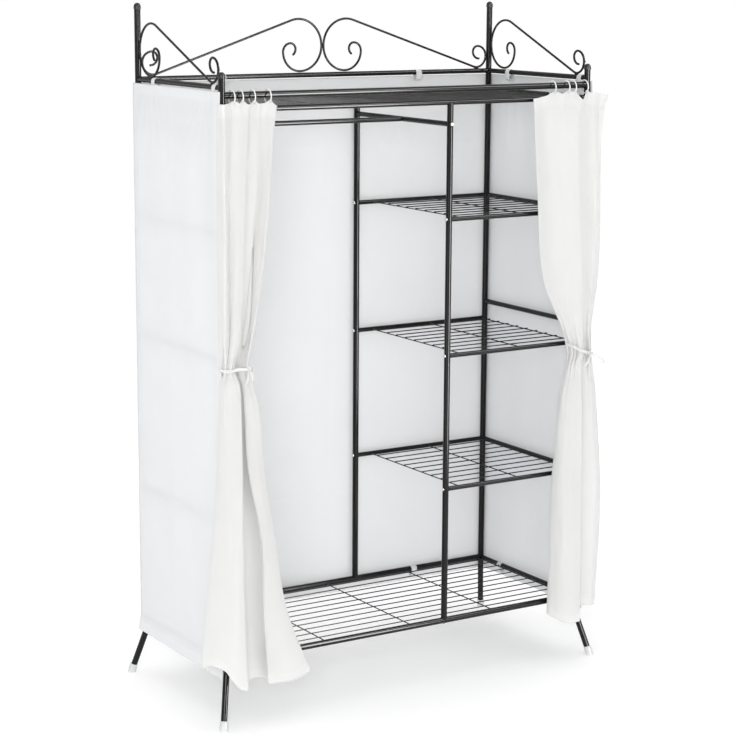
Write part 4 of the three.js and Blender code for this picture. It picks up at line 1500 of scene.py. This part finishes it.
RIGHT_CUTS = (
    Section(1523, (
        (-44, 33), (-38, 22), (-26, 17), (-7, 22), (6, 20), (12, 16), (32, 25), (51, 16),
        (61, 18), (72, 16), (93, 19), (116, 16), (140, 19), (165, 21), (185, 22), (172, 13),
    )),
    Section(1480, (
        (-36, 28), (-32, 19), (-27, 15), (-9, 22), (5, 19), (17, 16), (48, 30), (59, 28),
        (71, 25), (87, 23), (106, 22), (128, 22), (152, 23), (176, 25), (183, 23), (156, 14),
    )),
    Section(1244, (
        (-34, 10), (-33, 24), (-21, 30), (-9, 31), (-3, 25), (8, 20), (42, 36), (55, 36),
        (68, 34), (82, 32), (100, 30), (119, 29), (140, 29), (164, 29), (170, 26), (138, 15),
    )),
    Section(1036, (
        (-32, 8), (-33, 22), (-22, 30), (-8, 33), (-2, 28), (4, 25), (30, 38), (41, 39),
        (53, 38), (66, 36), (83, 34), (99, 32), (117, 30), (138, 27), (145, 24), (112, 15),
    )),
    Section(901, (
        (-12, 6), (-17, 18), (-8, 28), (3, 33), (6, 29), (9, 27), (25, 37), (33, 39),
        (41, 38), (48, 36), (56, 34), (64, 32), (71, 28), (78, 23), (79, 18), (62, 13),
    )),
    Section(839, (
        (-13, 12), (-15, 20), (-10, 29), (-3, 33), (3, 27), (9, 24), (17, 33), (23, 37),
        (29, 34), (35, 30), (41, 32), (47, 35), (53, 33), (59, 28), (62, 21), (52, 14),
    )),
    Section(800, (
        (-17, 8), (-22, 20), (-10, 31), (1, 37), (5, 32), (18, 28), (28, 40), (38, 42),
        (43, 41), (48, 38), (53, 37), (59, 36), (64, 33), (66, 27), (64, 20), (50, 14),
    )),
    Section(716, (
        (-29, 8), (-35, 22), (-21, 36), (-5, 43), (4, 40), (24, 32), (29, 47), (42, 49),
        (51, 48), (60, 46), (68, 44), (76, 41), (82, 36), (85, 28), (81, 20), (60, 14),
    )),
    Section(504, (
        (-46, 8), (-53, 26), (-36, 42), (-16, 51), (-1, 47), (26, 36), (26, 52), (44, 55),
        (58, 56), (71, 56), (83, 54), (92, 49), (99, 41), (103, 30), (100, 20), (72, 14),
    )),
    Section(350, (
        (-48, 8), (-57, 26), (-38, 44), (-19, 52), (-4, 47), (25, 36), (25, 53), (41, 58),
        (57, 61), (72, 61), (84, 57), (93, 50), (101, 40), (106, 28), (104, 18), (74, 13),
    )),
    Section(95, (
        (-42, 8), (-48, 24), (-31, 40), (-16, 47), (-4, 44), (24, 35), (23, 54), (38, 60),
        (54, 63), (68, 62), (81, 57), (92, 49), (99, 39), (106, 28), (105, 18), (74, 13),
    )),
)
RIGHT_DRAPE = Drape(
    side=Side.RIGHT,
    tied_level=839,
    sections=RIGHT_CUTS,
    top_drops=(19, 17, 14, 12, 11, 6, 28, 6, 9, 5, 12, 6, 15, 20, 23, 25),
    hem_rises=(44, 44, 46, 48, 50, 48, 16, 14, 14, 16, 20, 25, 30, 36, 40, 42),
    flat_width=0.325,
    draw_start=-0.0420,
    draw_run=0.1512,
    draw_rise=0.0310,
    knot_way=(-0.15, -1.0),
    band_tilt=0.026,
    tails=((0.93, -0.37, 0.048), (-0.55, -0.83, 0.036)),
    loops=((-0.8, 0.6, 0.010), (0.35, 0.55, 0.009)),
)


@dataclass
class Curtain:
    """One curtain with its rings."""

    shop: Workshop
    drape: Drape
    top: float = 1.523
    hem_level: float = 0.095
    thickness: float = CLOTH_THICKNESS
    hem_gain: float = 0.7
    hem_width: float = 0.024
    header: float = 0.034
    ring_radius: float = 0.0165
    ring_wire: float = 0.0015
    ring_count: int = 4
    ring_reach: float = 0.0155
    ring_stations: int = 56
    ring_sides: int = 16
    moulding_seam: float = 0.05
    moulding_reach: float = 0.2
    eyelet_radius: float = 0.0023
    eyelet_drop: float = 0.0125
    eyelet_depth: float = 0.006
    grommet_radius: float = 0.0032
    grommet_wire: float = 0.0008
    grommet_length: float = 0.0012
    grommet_stations: int = 28
    grommet_sides: int = 8
    stitches: int = 14
    stitch_lump: float = 0.12
    pleats: int = 9
    pleat_depth: float = 0.0028
    pleat_lean: float = 0.35
    pleat_shift: float = 0.4
    tight_reach: float = 0.03
    loose_reach: float = 0.085
    loose_depth: float = 0.0016
    small_depth: float = 0.0011
    small_rate: float = 1.9
    small_phase: float = 2.0
    pleat_phase: float = 0.6
    sway: Wave = Wave(1.1, 1.1, 0.0, 0.0)
    uneven: Wave = Wave(0.4, 1.4, 0.0, 0.5)
    gathers: int = 14
    gather_depth: float = 0.0008
    gather_fall: float = 0.03
    soft_waves: tuple[tuple[Wave, Wave], ...] = (
        (Wave(0.0016, 1.7, 1.9, 0.4), Wave(1.0, 0.0, 2.3, 1.1)),
        (Wave(0.0008, 5.2, -1.3, 1.9), Wave(1.0, 0.0, 3.1, 0.3)),
        (Wave(0.0004, 9.0, 7.0, 0.0), Wave(1.0, 0.0, 5.3, 2.2)),
    )
    top_ease: float = 0.1
    edge_ease: float = 0.04
    row_crowding: tuple[Pair, ...] = ((2.6, 0.03), (1.2, 0.07), (1.0, 0.02))
    fine_rows: int = 2001
    columns: int = 203
    rows: int = 240

    @property
    def drop(self) -> float:
        """The height from the hem's level to the top edge's."""
        return self.top - self.hem_level

    @property
    def tied_share(self) -> float:
        """Where the tie is, as a share of the drop."""
        return (self.top - self.drape.tied_level / 1000) / self.drop

    @property
    def post(self) -> Array:
        """The front post's place."""
        return middle_of(f"post_cap_front_{self.drape.side.word}")

    def station_shares(self) -> Array:
        """Each station's share of the cloth's width: its distance along the cuts, taken over all of them."""
        cuts = np.array([section.stations for section in self.drape.sections])
        lengths = np.linalg.norm(np.diff(cuts, axis=1), axis=2).mean(axis=0)
        total = np.concatenate([[0.0], np.cumsum(lengths)])
        return total / total[-1]

    def plan(self, across: Array, down: Array) -> Array:
        """The cloth's place in plan, in metres inwards and forwards of the post.

        Smooth lines join the cuts down each station, and then the stations.

        Args:
            across: Shares across the flat cloth.
            down: Shares of the drop.

        Returns:
            Rows by columns by two.
        """
        levels = np.array([section.level for section in self.drape.sections]) / 1000
        cuts = np.array([section.stations for section in self.drape.sections]) / 1000
        lines = smooth_lines((self.top - levels) / self.drop, cuts, down)
        grid = smooth_lines(self.station_shares(), np.moveaxis(lines, 1, 0), across)
        return np.moveaxis(grid, 1, 0)

    def middle_surface(self, across: Array, down: Array) -> Array:
        """The middle of the cloth.

        To the plan it adds pleats that gather at the tie and run out above and below it, fine gathers
        under the top edge, and slow sines for the cloth's own softness. The level is the drop's, less the
        sag of the top edge and plus the rise of the hem.

        Args:
            across: Shares across the flat cloth.
            down: Shares of the drop.

        Returns:
            Rows by columns by three.
        """
        plan = self.plan(across, down)
        s, t = np.meshgrid(across, down, indexing="xy")
        tight = bump_at(t, self.tied_share, self.tight_reach)
        loose = bump_at(t, self.tied_share, self.loose_reach)
        lean = self.pleat_lean * (t - self.tied_share)
        fan = np.cos(TURN * (self.pleats * s + lean) + self.pleat_phase + self.sway.at(s, t))
        small = np.cos(TURN * (self.pleats * self.small_rate * s - 2 * lean) + self.small_phase)
        uneven = 1 - self.uneven.height + self.uneven.at(s, t)
        pleats = self.pleat_depth * tight * fan
        pleats = pleats + uneven * loose * (self.loose_depth * fan + self.small_depth * small)
        header = self.gather_depth * np.exp(-t / self.gather_fall) * np.cos(TURN * self.gathers * s)
        eased = smooth_step(t / self.top_ease)
        free = eased * (1 - tight) * smooth_step((1 - s) / self.edge_ease)
        soft = sum(first.at(s, t) * second.at(s, t) for first, second in self.soft_waves)
        shares = self.station_shares()
        sag = smooth_lines(shares, np.array(self.drape.top_drops) / 1000, across)
        rise = smooth_lines(shares, np.array(self.drape.hem_rises) / 1000, across)
        x = self.post[0] - self.drape.side.value * (plan[..., 0] + self.pleat_shift * pleats)
        y = self.post[1] - plan[..., 1] - pleats - header - soft * free
        z = self.top - self.drop * t - sag * (1 - eased) + rise * t**4
        return np.stack([x, y, z], axis=-1)

    def row_shares(self) -> Array:
        """The rows' shares of the drop: close together in the header, at the tie and in the hem."""
        even = np.linspace(0, 1, self.fine_rows)
        weight = np.ones_like(even)
        for middle, (more, reach) in zip((0.0, self.tied_share, 1.0), self.row_crowding):
            weight += more * bump_at(even, middle, reach)
        total = np.concatenate([[0], np.cumsum((weight[1:] + weight[:-1]) / 2)])
        return np.interp(np.linspace(0, total[-1], self.rows), total, even)

    def cloth(self) -> Surface:
        """The curtain's cloth, with double hems, and a hole with a stitched eyelet for each ring."""
        across, down = np.linspace(0, 1, self.columns), self.row_shares()
        points = self.middle_surface(across, down)
        s, t = np.meshgrid(across, down, indexing="xy")
        width = self.drape.flat_width
        edge = np.minimum(np.minimum(s, 1 - s) * width, (1 - t) * self.drop)
        below = t * self.drop
        hem = np.maximum(hem_share(edge, self.hem_width), hem_share(below, self.header))
        seam = np.maximum(seam_share(edge, self.hem_width), seam_share(below, self.header))
        thickness = self.thickness * (1 + self.hem_gain * hem - SEAM_DIP * seam)
        kept = np.ones((self.rows - 1, self.columns - 1), dtype=bool)
        parts = []
        for place in self.eyelets(points):
            self.pierce(points, kept, place)
            parts.append(self.grommet(place))
        places = np.stack([s * width, t * self.drop], axis=-1)
        parts.insert(0, cloth_shell(points, thickness, places, hem, kept))
        return Surface.joined(parts)

    def pierce(self, points: Array, kept: Array, place: Array) -> None:
        """Opens a round hole: quads whose middle is inside it go, and the corners they leave move onto it.

        Args:
            points: The cloth's middle grid, which is changed.
            kept: Which quads are kept, which is changed.
            place: The hole's middle.
        """
        away = points - place
        level = np.hypot(away[..., 0], away[..., 2])
        near = np.abs(away[..., 1]) < self.eyelet_depth
        middles = (points[:-1, :-1] + points[1:, :-1] + points[:-1, 1:] + points[1:, 1:]) / 4 - place
        gone = np.hypot(middles[..., 0], middles[..., 2]) < self.eyelet_radius
        gone &= np.abs(middles[..., 1]) < self.eyelet_depth
        kept &= ~gone
        corners = np.zeros(points.shape[:2], dtype=bool)
        for row in (slice(None, -1), slice(1, None)):
            for column in (slice(None, -1), slice(1, None)):
                corners[row, column] |= gone
        moved = (corners | (level < self.eyelet_radius)) & near
        scale = np.where(moved, self.eyelet_radius / np.maximum(level, 1e-5), 1.0)
        points[..., 0] = place[0] + away[..., 0] * scale
        points[..., 2] = place[2] + away[..., 2] * scale

    def grommet(self, place: Array) -> Surface:
        """The edge of a ring's hole, with a lump for each stitch."""
        around = np.linspace(0, TURN, self.grommet_stations, endpoint=False)
        section = np.linspace(0, TURN, self.grommet_sides, endpoint=False)
        lumps = 1 + self.stitch_lump * np.cos(self.stitches * around)
        out = self.grommet_wire * lumps[:, None] * np.cos(section)
        along = self.grommet_length * np.sin(section)
        ring = carried_section(place, ALONG_X, ALONG_Y, self.grommet_radius, out, along)
        return Surface(ring.points, ring.faces, (ring.points - place)[:, [0, 2]], np.ones(len(ring.points)))

    def ring_node(self, index: int) -> str:
        """The frame's node of a ring."""
        return f"ring_{self.drape.side.word}_{index + 1}"

    def eyelets(self, points: Array) -> list[Array]:
        """Where each ring passes through the cloth: on its own circle, as far forward as the cloth is there.

        Args:
            points: The cloth's middle grid.

        Returns:
            The holes' middles.
        """
        places = []
        for index in range(self.ring_count):
            ring = middle_of(self.ring_node(index))
            guess = np.array([ring[0], self.post[1] - self.ring_reach, ring[2] - self.eyelet_drop])
            nearest = np.linalg.norm(points - guess, axis=-1).argmin()
            y = points.reshape(-1, 3)[nearest, 1]
            z = ring[2] - math.sqrt(max(self.ring_radius**2 - (y - ring[1]) ** 2, 0.0))
            places.append(np.array([ring[0], y, z]))
        return places

    def rings(self) -> None:
        """Builds the rings, whose section is round with the seam of the mould."""
        section = np.linspace(0, TURN, self.ring_sides, endpoint=False)
        seam = self.moulding_seam * bump_at(np.sin(section), 0.0, self.moulding_reach)
        thick = self.ring_wire * (1 + seam)
        out = np.tile(thick * np.cos(section), (self.ring_stations, 1))
        along = thick * np.sin(section)
        for index in range(self.ring_count):
            node = self.ring_node(index)
            body = f"{self.drape.side.word}_ring_{index + 1}"
            ring = carried_section(middle_of(node), ALONG_Y, ALONG_X, self.ring_radius, out, along)
            self.shop.piece(f"{node}_loop", ring, RING_PLASTIC, body, (node,))

    def build(self) -> None:
        """Builds the curtain and its rings."""
        node = f"curtain_{self.drape.side.word}"
        made = self.shop.piece(f"{node}_cloth", self.cloth(), CURTAIN_CLOTH, None, (node,))
        self.rings()
        self.blend(made)
        flat = (self.drape.flat_width, self.drop)

    def blend(self, made: bpy.types.Object) -> None:
        """Works out the line its leading ring would draw the top along, and bakes the cloth's place into its
        mesh.
        """
        inward = -self.drape.side.value
        post_x, post_y, _ = self.post
        start = np.array([post_x + inward * self.drape.draw_start, post_y, self.top])
        end = start + np.array([inward * self.drape.draw_run, 0.0, self.drape.draw_rise])
        f"{self.drape.side.word}_ring_{self.ring_count}"
        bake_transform(made)


@dataclass
class Tie:
    """A ribbon tied round the gathered cloth and its post."""

    shop: Workshop
    curtain: Curtain
    width: float = 0.010
    thickness: float = 0.0009
    slack: float = 0.0012
    post_reach: float = 0.0088
    stations: int = 160
    cut_points: int = 120
    directions: int = 360
    tilt_reach: float = 0.06
    tilt_middle: float = 0.3
    waver: Wave = Wave(0.0008, 4.0, 0.0, 0.0)
    roll: float = 0.25
    roll_count: int = 3
    band_share: float = 0.84
    band_sway: float = 0.07
    band_sways: int = 5
    knot_stand: float = 0.0022
    knot_half: Triple = (0.0052, 0.0040, 0.0056)
    knot_score: float = 0.12
    knot_rows: int = 18
    knot_columns: int = 28
    knot_use: float = 0.03
    loop_use: float = 2.6
    loop_steps: int = 40
    loop_spread: float = 0.42
    loop_lift: float = 0.0012
    loop_roll: float = 0.15
    loop_share: float = 0.45
    tail_steps: int = 26
    tail_droop: float = 0.25
    tail_lift: float = 0.0035
    tail_forward: float = 0.002
    tail_roll: float = 0.35
    tail_rolls: float = 2.2
    tail_share: float = 0.5
    tail_widening: float = 0.4
    tail_ease: float = 0.6

    @property
    def drape(self) -> Drape:
        """The drape that it ties."""
        return self.curtain.drape

    def band_line(self) -> Array:
        """The smallest outline that holds the gathered cloth and the post.

        For each direction it takes the point or the post's edge that lies furthest that way. The inner
        end is lifted by the band's tilt.
        """
        across = np.linspace(0, 1, self.cut_points)
        cut = self.curtain.middle_surface(across, np.array([self.curtain.tied_share]))[0]
        post = self.curtain.post
        centres = np.concatenate([cut[:, :2], post[None, :2]])
        grow = self.slack + self.thickness / 2
        radii = np.concatenate([np.full(len(cut), grow), [self.post_reach]])
        angle = np.linspace(0, TURN, self.directions, endpoint=False)
        way = np.stack([np.cos(angle), np.sin(angle)], axis=1)
        chosen = (way @ centres.T + radii).argmax(axis=1)
        line = centres[chosen] + radii[chosen][:, None] * way
        closed = np.concatenate([line, line[:1]])
        total = np.concatenate([[0.0], np.cumsum(np.linalg.norm(np.diff(closed, axis=0), axis=1))])
        places = np.linspace(0, total[-1], self.stations, endpoint=False)
        flat = np.stack([np.interp(places, total, closed[:, axis]) for axis in (0, 1)], axis=1)
        share = (flat[:, 0] - post[0]) * -self.drape.side.value / self.tilt_reach
        level = self.drape.tied_level / 1000 + self.drape.band_tilt * (share - self.tilt_middle)
        level = level + self.waver.at(np.arange(self.stations) / self.stations, 0.0)
        return np.concatenate([flat, level[:, None]], axis=1)

    def build(self) -> None:
        """Builds the ribbon, its knot, its loops and its tails."""
        path = self.band_line()
        turn = TURN * np.arange(self.stations) / self.stations
        rolled = self.roll_count * turn
        roll = np.stack([np.sin(rolled), np.cos(rolled), np.zeros(self.stations)], axis=1)
        side = unit(UP + self.roll * roll)
        width = self.width * (self.band_share + self.band_sway * np.sin(self.band_sways * turn))
        band = carried_strip(path, side, width, self.thickness, closed=True)
        parts = [band, *self.knot(path)]
        name = f"tie_{self.drape.side.word}"
        made = self.shop.piece(f"{name}_ribbon", Surface.joined(parts), RIBBON, stands_for=(name,))
        loops = sum(self.loop_use * size for _, _, size in self.drape.loops)
        tails = sum(size for _, _, size in self.drape.tails)
        f"curtain_{self.drape.side.word}_cloth"

    def knot(self, path: Array) -> list[Surface]:
        """The knot, its loops and its tails.

        The knot is a ball with half sizes of its own, scored by cosine grooves: at its polar angle p and
        its angle a round Z, its radius is 1 + score cos(3 a + 2 p) sin p.

        Args:
            path: The band's line.

        Returns:
            The closed surfaces.
        """
        way = np.array([-self.drape.side.value * self.drape.knot_way[0], self.drape.knot_way[1]])
        away = path[(path[:, :2] @ way).argmax()]
        centre = away + self.knot_stand * unit(np.array([way[0], way[1], 0.0]))
        rows, columns = self.knot_rows - 2, self.knot_columns
        polar = np.linspace(0, math.pi, self.knot_rows)[1:-1, None]
        around = np.linspace(0, TURN, columns, endpoint=False)
        scored = 1 + self.knot_score * np.cos(3 * around + 2 * polar) * np.sin(polar)
        round_part = [np.sin(polar) * np.cos(around), np.sin(polar) * np.sin(around)]
        ball = np.stack([*round_part, np.cos(polar) + 0 * around], axis=-1)
        half = np.array(self.knot_half)
        points = (centre + scored[..., None] * ball * half).reshape(-1, 3)
        everything = np.concatenate([points, centre + half * UP * [[1], [-1]]])
        faces = [grid_faces(rows, columns, wrap_columns=True), *end_fans(rows, columns)]
        places = (everything - centre)[:, [0, 2]]
        knot = Surface(everything, faces, places, np.ones(len(everything))).outward()
        return [knot, *(self.tail(centre, *tail) for tail in self.drape.tails),
                *(self.loop(centre, *loop) for loop in self.drape.loops)]

    def tail(self, centre: Array, run: float, rise: float, length: float) -> Surface:
        """One free end of the ribbon, which leaves the knot and droops as its length squared.

        Args:
            centre: The knot's middle.
            run: Its direction along X.
            rise: Its direction along Z.
            length: Its length.

        Returns:
            The closed surface.
        """
        t = np.linspace(0, 1, self.tail_steps)
        droop = self.tail_droop * (1 - abs(rise))
        x = centre[0] + run * length * t
        y = centre[1] - self.tail_lift * np.sin(math.pi * t) - self.tail_forward * t
        z = centre[2] + rise * length * t - droop * length * t**2
        line = np.stack([x, y, z], axis=1)
        rolled = self.tail_roll * np.sin(self.tail_rolls * t)[:, None] * ALONG_Y
        side = unit(np.cross(unit(np.gradient(line, axis=0)), ALONG_Y) + rolled)
        width = self.width * (self.tail_share + self.tail_widening * smooth_step(t / self.tail_ease))
        return carried_strip(line, side, width, self.thickness, closed=False)

    def loop(self, centre: Array, run: float, rise: float, size: float) -> Surface:
        """One loop of the bow: a leaf-shaped line, sin(t) out and sin(2 t) to the side.

        Args:
            centre: The knot's middle.
            run: Its direction along X.
            rise: Its direction along Z.
            size: How far it stands out.

        Returns:
            The closed surface.
        """
        t = np.linspace(0, math.pi, self.loop_steps)
        out = np.array([run, 0.0, rise])
        up = np.array([-rise, 0.0, run])
        reach, spread = size * np.sin(t), self.loop_spread * size * np.sin(2 * t)
        line = centre + reach[:, None] * out + spread[:, None] * up
        line[:, 1] -= self.loop_lift * np.sin(t)
        side = np.tile(unit(ALONG_Y + self.loop_roll * ALONG_X), (len(t), 1))
        width = self.width * self.loop_share * (1 + np.sin(t))
        return carried_strip(line, side, width, self.thickness, closed=False)


class SoftLight(NamedTuple):
    """An oblong light that faces a target; one for gloss alone shows in nothing but glossy surfaces."""

    name: str
    place: Triple
    target: Triple
    width: float
    height: float
    power: float
    gloss_only: bool = False


@dataclass
class Studio:
    """The floor, the light and the camera."""

    eye: Triple = (-2.7915, -4.4778, 1.8114)
    right: Triple = (0.8484, -0.5293, 0.0053)
    down: Triple = (-0.0950, -0.1622, -0.9822)
    lens: float = 101.15
    sensor: float = 36.0
    floor_size: float = 900.0
    sky_level: float = 0.16
    sky_zenith: float = 1.12
    sky_left: float = 0.05
    glow: float = 0.82
    glow_height: float = 0.12
    floor_tone: float = 0.93
    floor_glow: float = 0.17
    floor_roughness: float = 0.7
    view_reach: float = 2000.0
    soft_lights: tuple[SoftLight, ...] = (
        SoftLight("front", (-3.5, -4.9, 2.3), (0.0, 0.0, 0.8), 1.5, 1.5, 120.0),
        SoftLight("left_strip", (-3.3, -2.2, 0.5), (0.0, 0.0, 0.6), 0.7, 0.9, 5.0),
        SoftLight("right_strip", (2.3, -3.2, 0.5), (0.0, 0.0, 0.6), 0.6, 0.9, 7.0),
        SoftLight("post_gloss", (0.86, -2.0, 0.9), (0.0, 0.0, 0.9), 0.5, 1.5, 75.0, True),
        SoftLight("rail_gloss", (1.4, -1.9, 2.9), (0.0, 0.0, 1.3), 2.4, 0.6, 70.0, True),
    )

    def camera(self) -> None:
        """Sets the camera at the photograph's place and turn."""
        data = bpy.data.cameras.new("camera")
        data.lens, data.sensor_width = self.lens, self.sensor
        data.clip_end = self.view_reach
        right, up = np.array(self.right), -np.array(self.down)
        axes = np.stack([right, up, np.cross(right, up)], axis=1)
        bpy.context.scene.camera = self.stand("camera", data, axes, self.eye)

    def stand(self, name: str, data: object, axes: Array, place: Triple) -> bpy.types.Object:
        """Stands a camera or a light at a place, with its own axes as a matrix's columns."""
        made = bpy.data.objects.new(name, data)
        matrix = np.eye(4)
        matrix[:3, :3], matrix[:3, 3] = axes, place
        made.matrix_world = Matrix(matrix.tolist())
        bpy.context.scene.collection.objects.link(made)
        return made

    def floor(self) -> None:
        """Lays the pale floor."""
        half = self.floor_size / 2
        mesh = bpy.data.meshes.new("floor")
        corners = [(-half, -half, 0), (half, -half, 0), (half, half, 0), (-half, half, 0)]
        mesh.from_pydata(corners, [], [(0, 1, 2, 3)])
        made = bpy.data.objects.new("floor", mesh)
        recipe = Recipe("pale_floor")
        tone = self.floor_tone
        recipe.shade(
            Base_Color=(tone, tone, tone, 1.0),
            Roughness=self.floor_roughness,
            Emission_Color=(1.0, 1.0, 1.0, 1.0),
            Emission_Strength=self.floor_glow,
        )
        mesh.materials.append(recipe.material)
        bpy.context.scene.collection.objects.link(made)

    def hang(self, light: SoftLight) -> None:
        """Hangs one soft light."""
        data = bpy.data.lights.new(light.name, "AREA")
        data.shape, data.size, data.size_y = "RECTANGLE", light.width, light.height
        data.energy = light.power
        back = unit(np.array(light.place) - np.array(light.target))
        right = unit(np.cross(UP, back))
        axes = np.stack([right, np.cross(back, right), back], axis=1)
        made = self.stand(light.name, data, axes, light.place)
        made.visible_diffuse = not light.gloss_only
        made.visible_camera = not light.gloss_only

    def sky(self) -> None:
        """Lights the room from all round, more from overhead, from the left and from just over the floor.

        The strength in the direction (x, y, z) is level + zenith max(z, 0) - left x + glow exp(-(z / h)^2).
        """
        world = bpy.data.worlds.new("studio")
        world.use_nodes = True
        graph = Graph(world.node_tree)
        way = graph.node("TexCoord").outputs["Generated"]
        parts = graph.node("SeparateXYZ", {"Vector": way}).outputs
        rise = graph.math("MAXIMUM", parts["Z"], 0.0)
        upward = graph.math("MULTIPLY_ADD", rise, self.sky_zenith, self.sky_level)
        sideways = graph.math("MULTIPLY_ADD", parts["X"], -self.sky_left, upward)
        share = graph.math("DIVIDE", parts["Z"], self.glow_height)
        power = graph.math("MULTIPLY", graph.math("MULTIPLY", share, share), -1.0)
        low = graph.math("POWER", math.e, power)
        background = graph.tree.nodes["Background"].inputs
        graph.set(background["Strength"], graph.math("MULTIPLY_ADD", low, self.glow, sideways))
        graph.set(background["Color"], (1.0, 1.0, 1.0, 1.0))
        bpy.context.scene.world = world

    def build(self) -> None:
        """Sets up the camera, the floor, the light of the room and the lights that draw streaks."""
        self.camera()
        self.floor()
        self.sky()
        for light in self.soft_lights:
            self.hang(light)
        bpy.context.scene.view_settings.view_transform = "Standard"


def main() -> None:
    """Builds every sub-assembly in order."""
    logging.basicConfig(level=logging.INFO, format="%(message)s")
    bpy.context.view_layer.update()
    shop = Workshop()
    Studio().build()
    Posts(shop).build()
    Rails(shop).build()
    WireShelves(shop).build()
    CrownScrolls(shop).build()
    Bolts(shop).build()
    ClothPanels(shop).build()
    for drape in (LEFT_DRAPE, RIGHT_DRAPE):
        curtain = Curtain(shop, drape)
        curtain.build()
        Tie(shop, curtain).build()


if __name__ == "__main__":
    main()
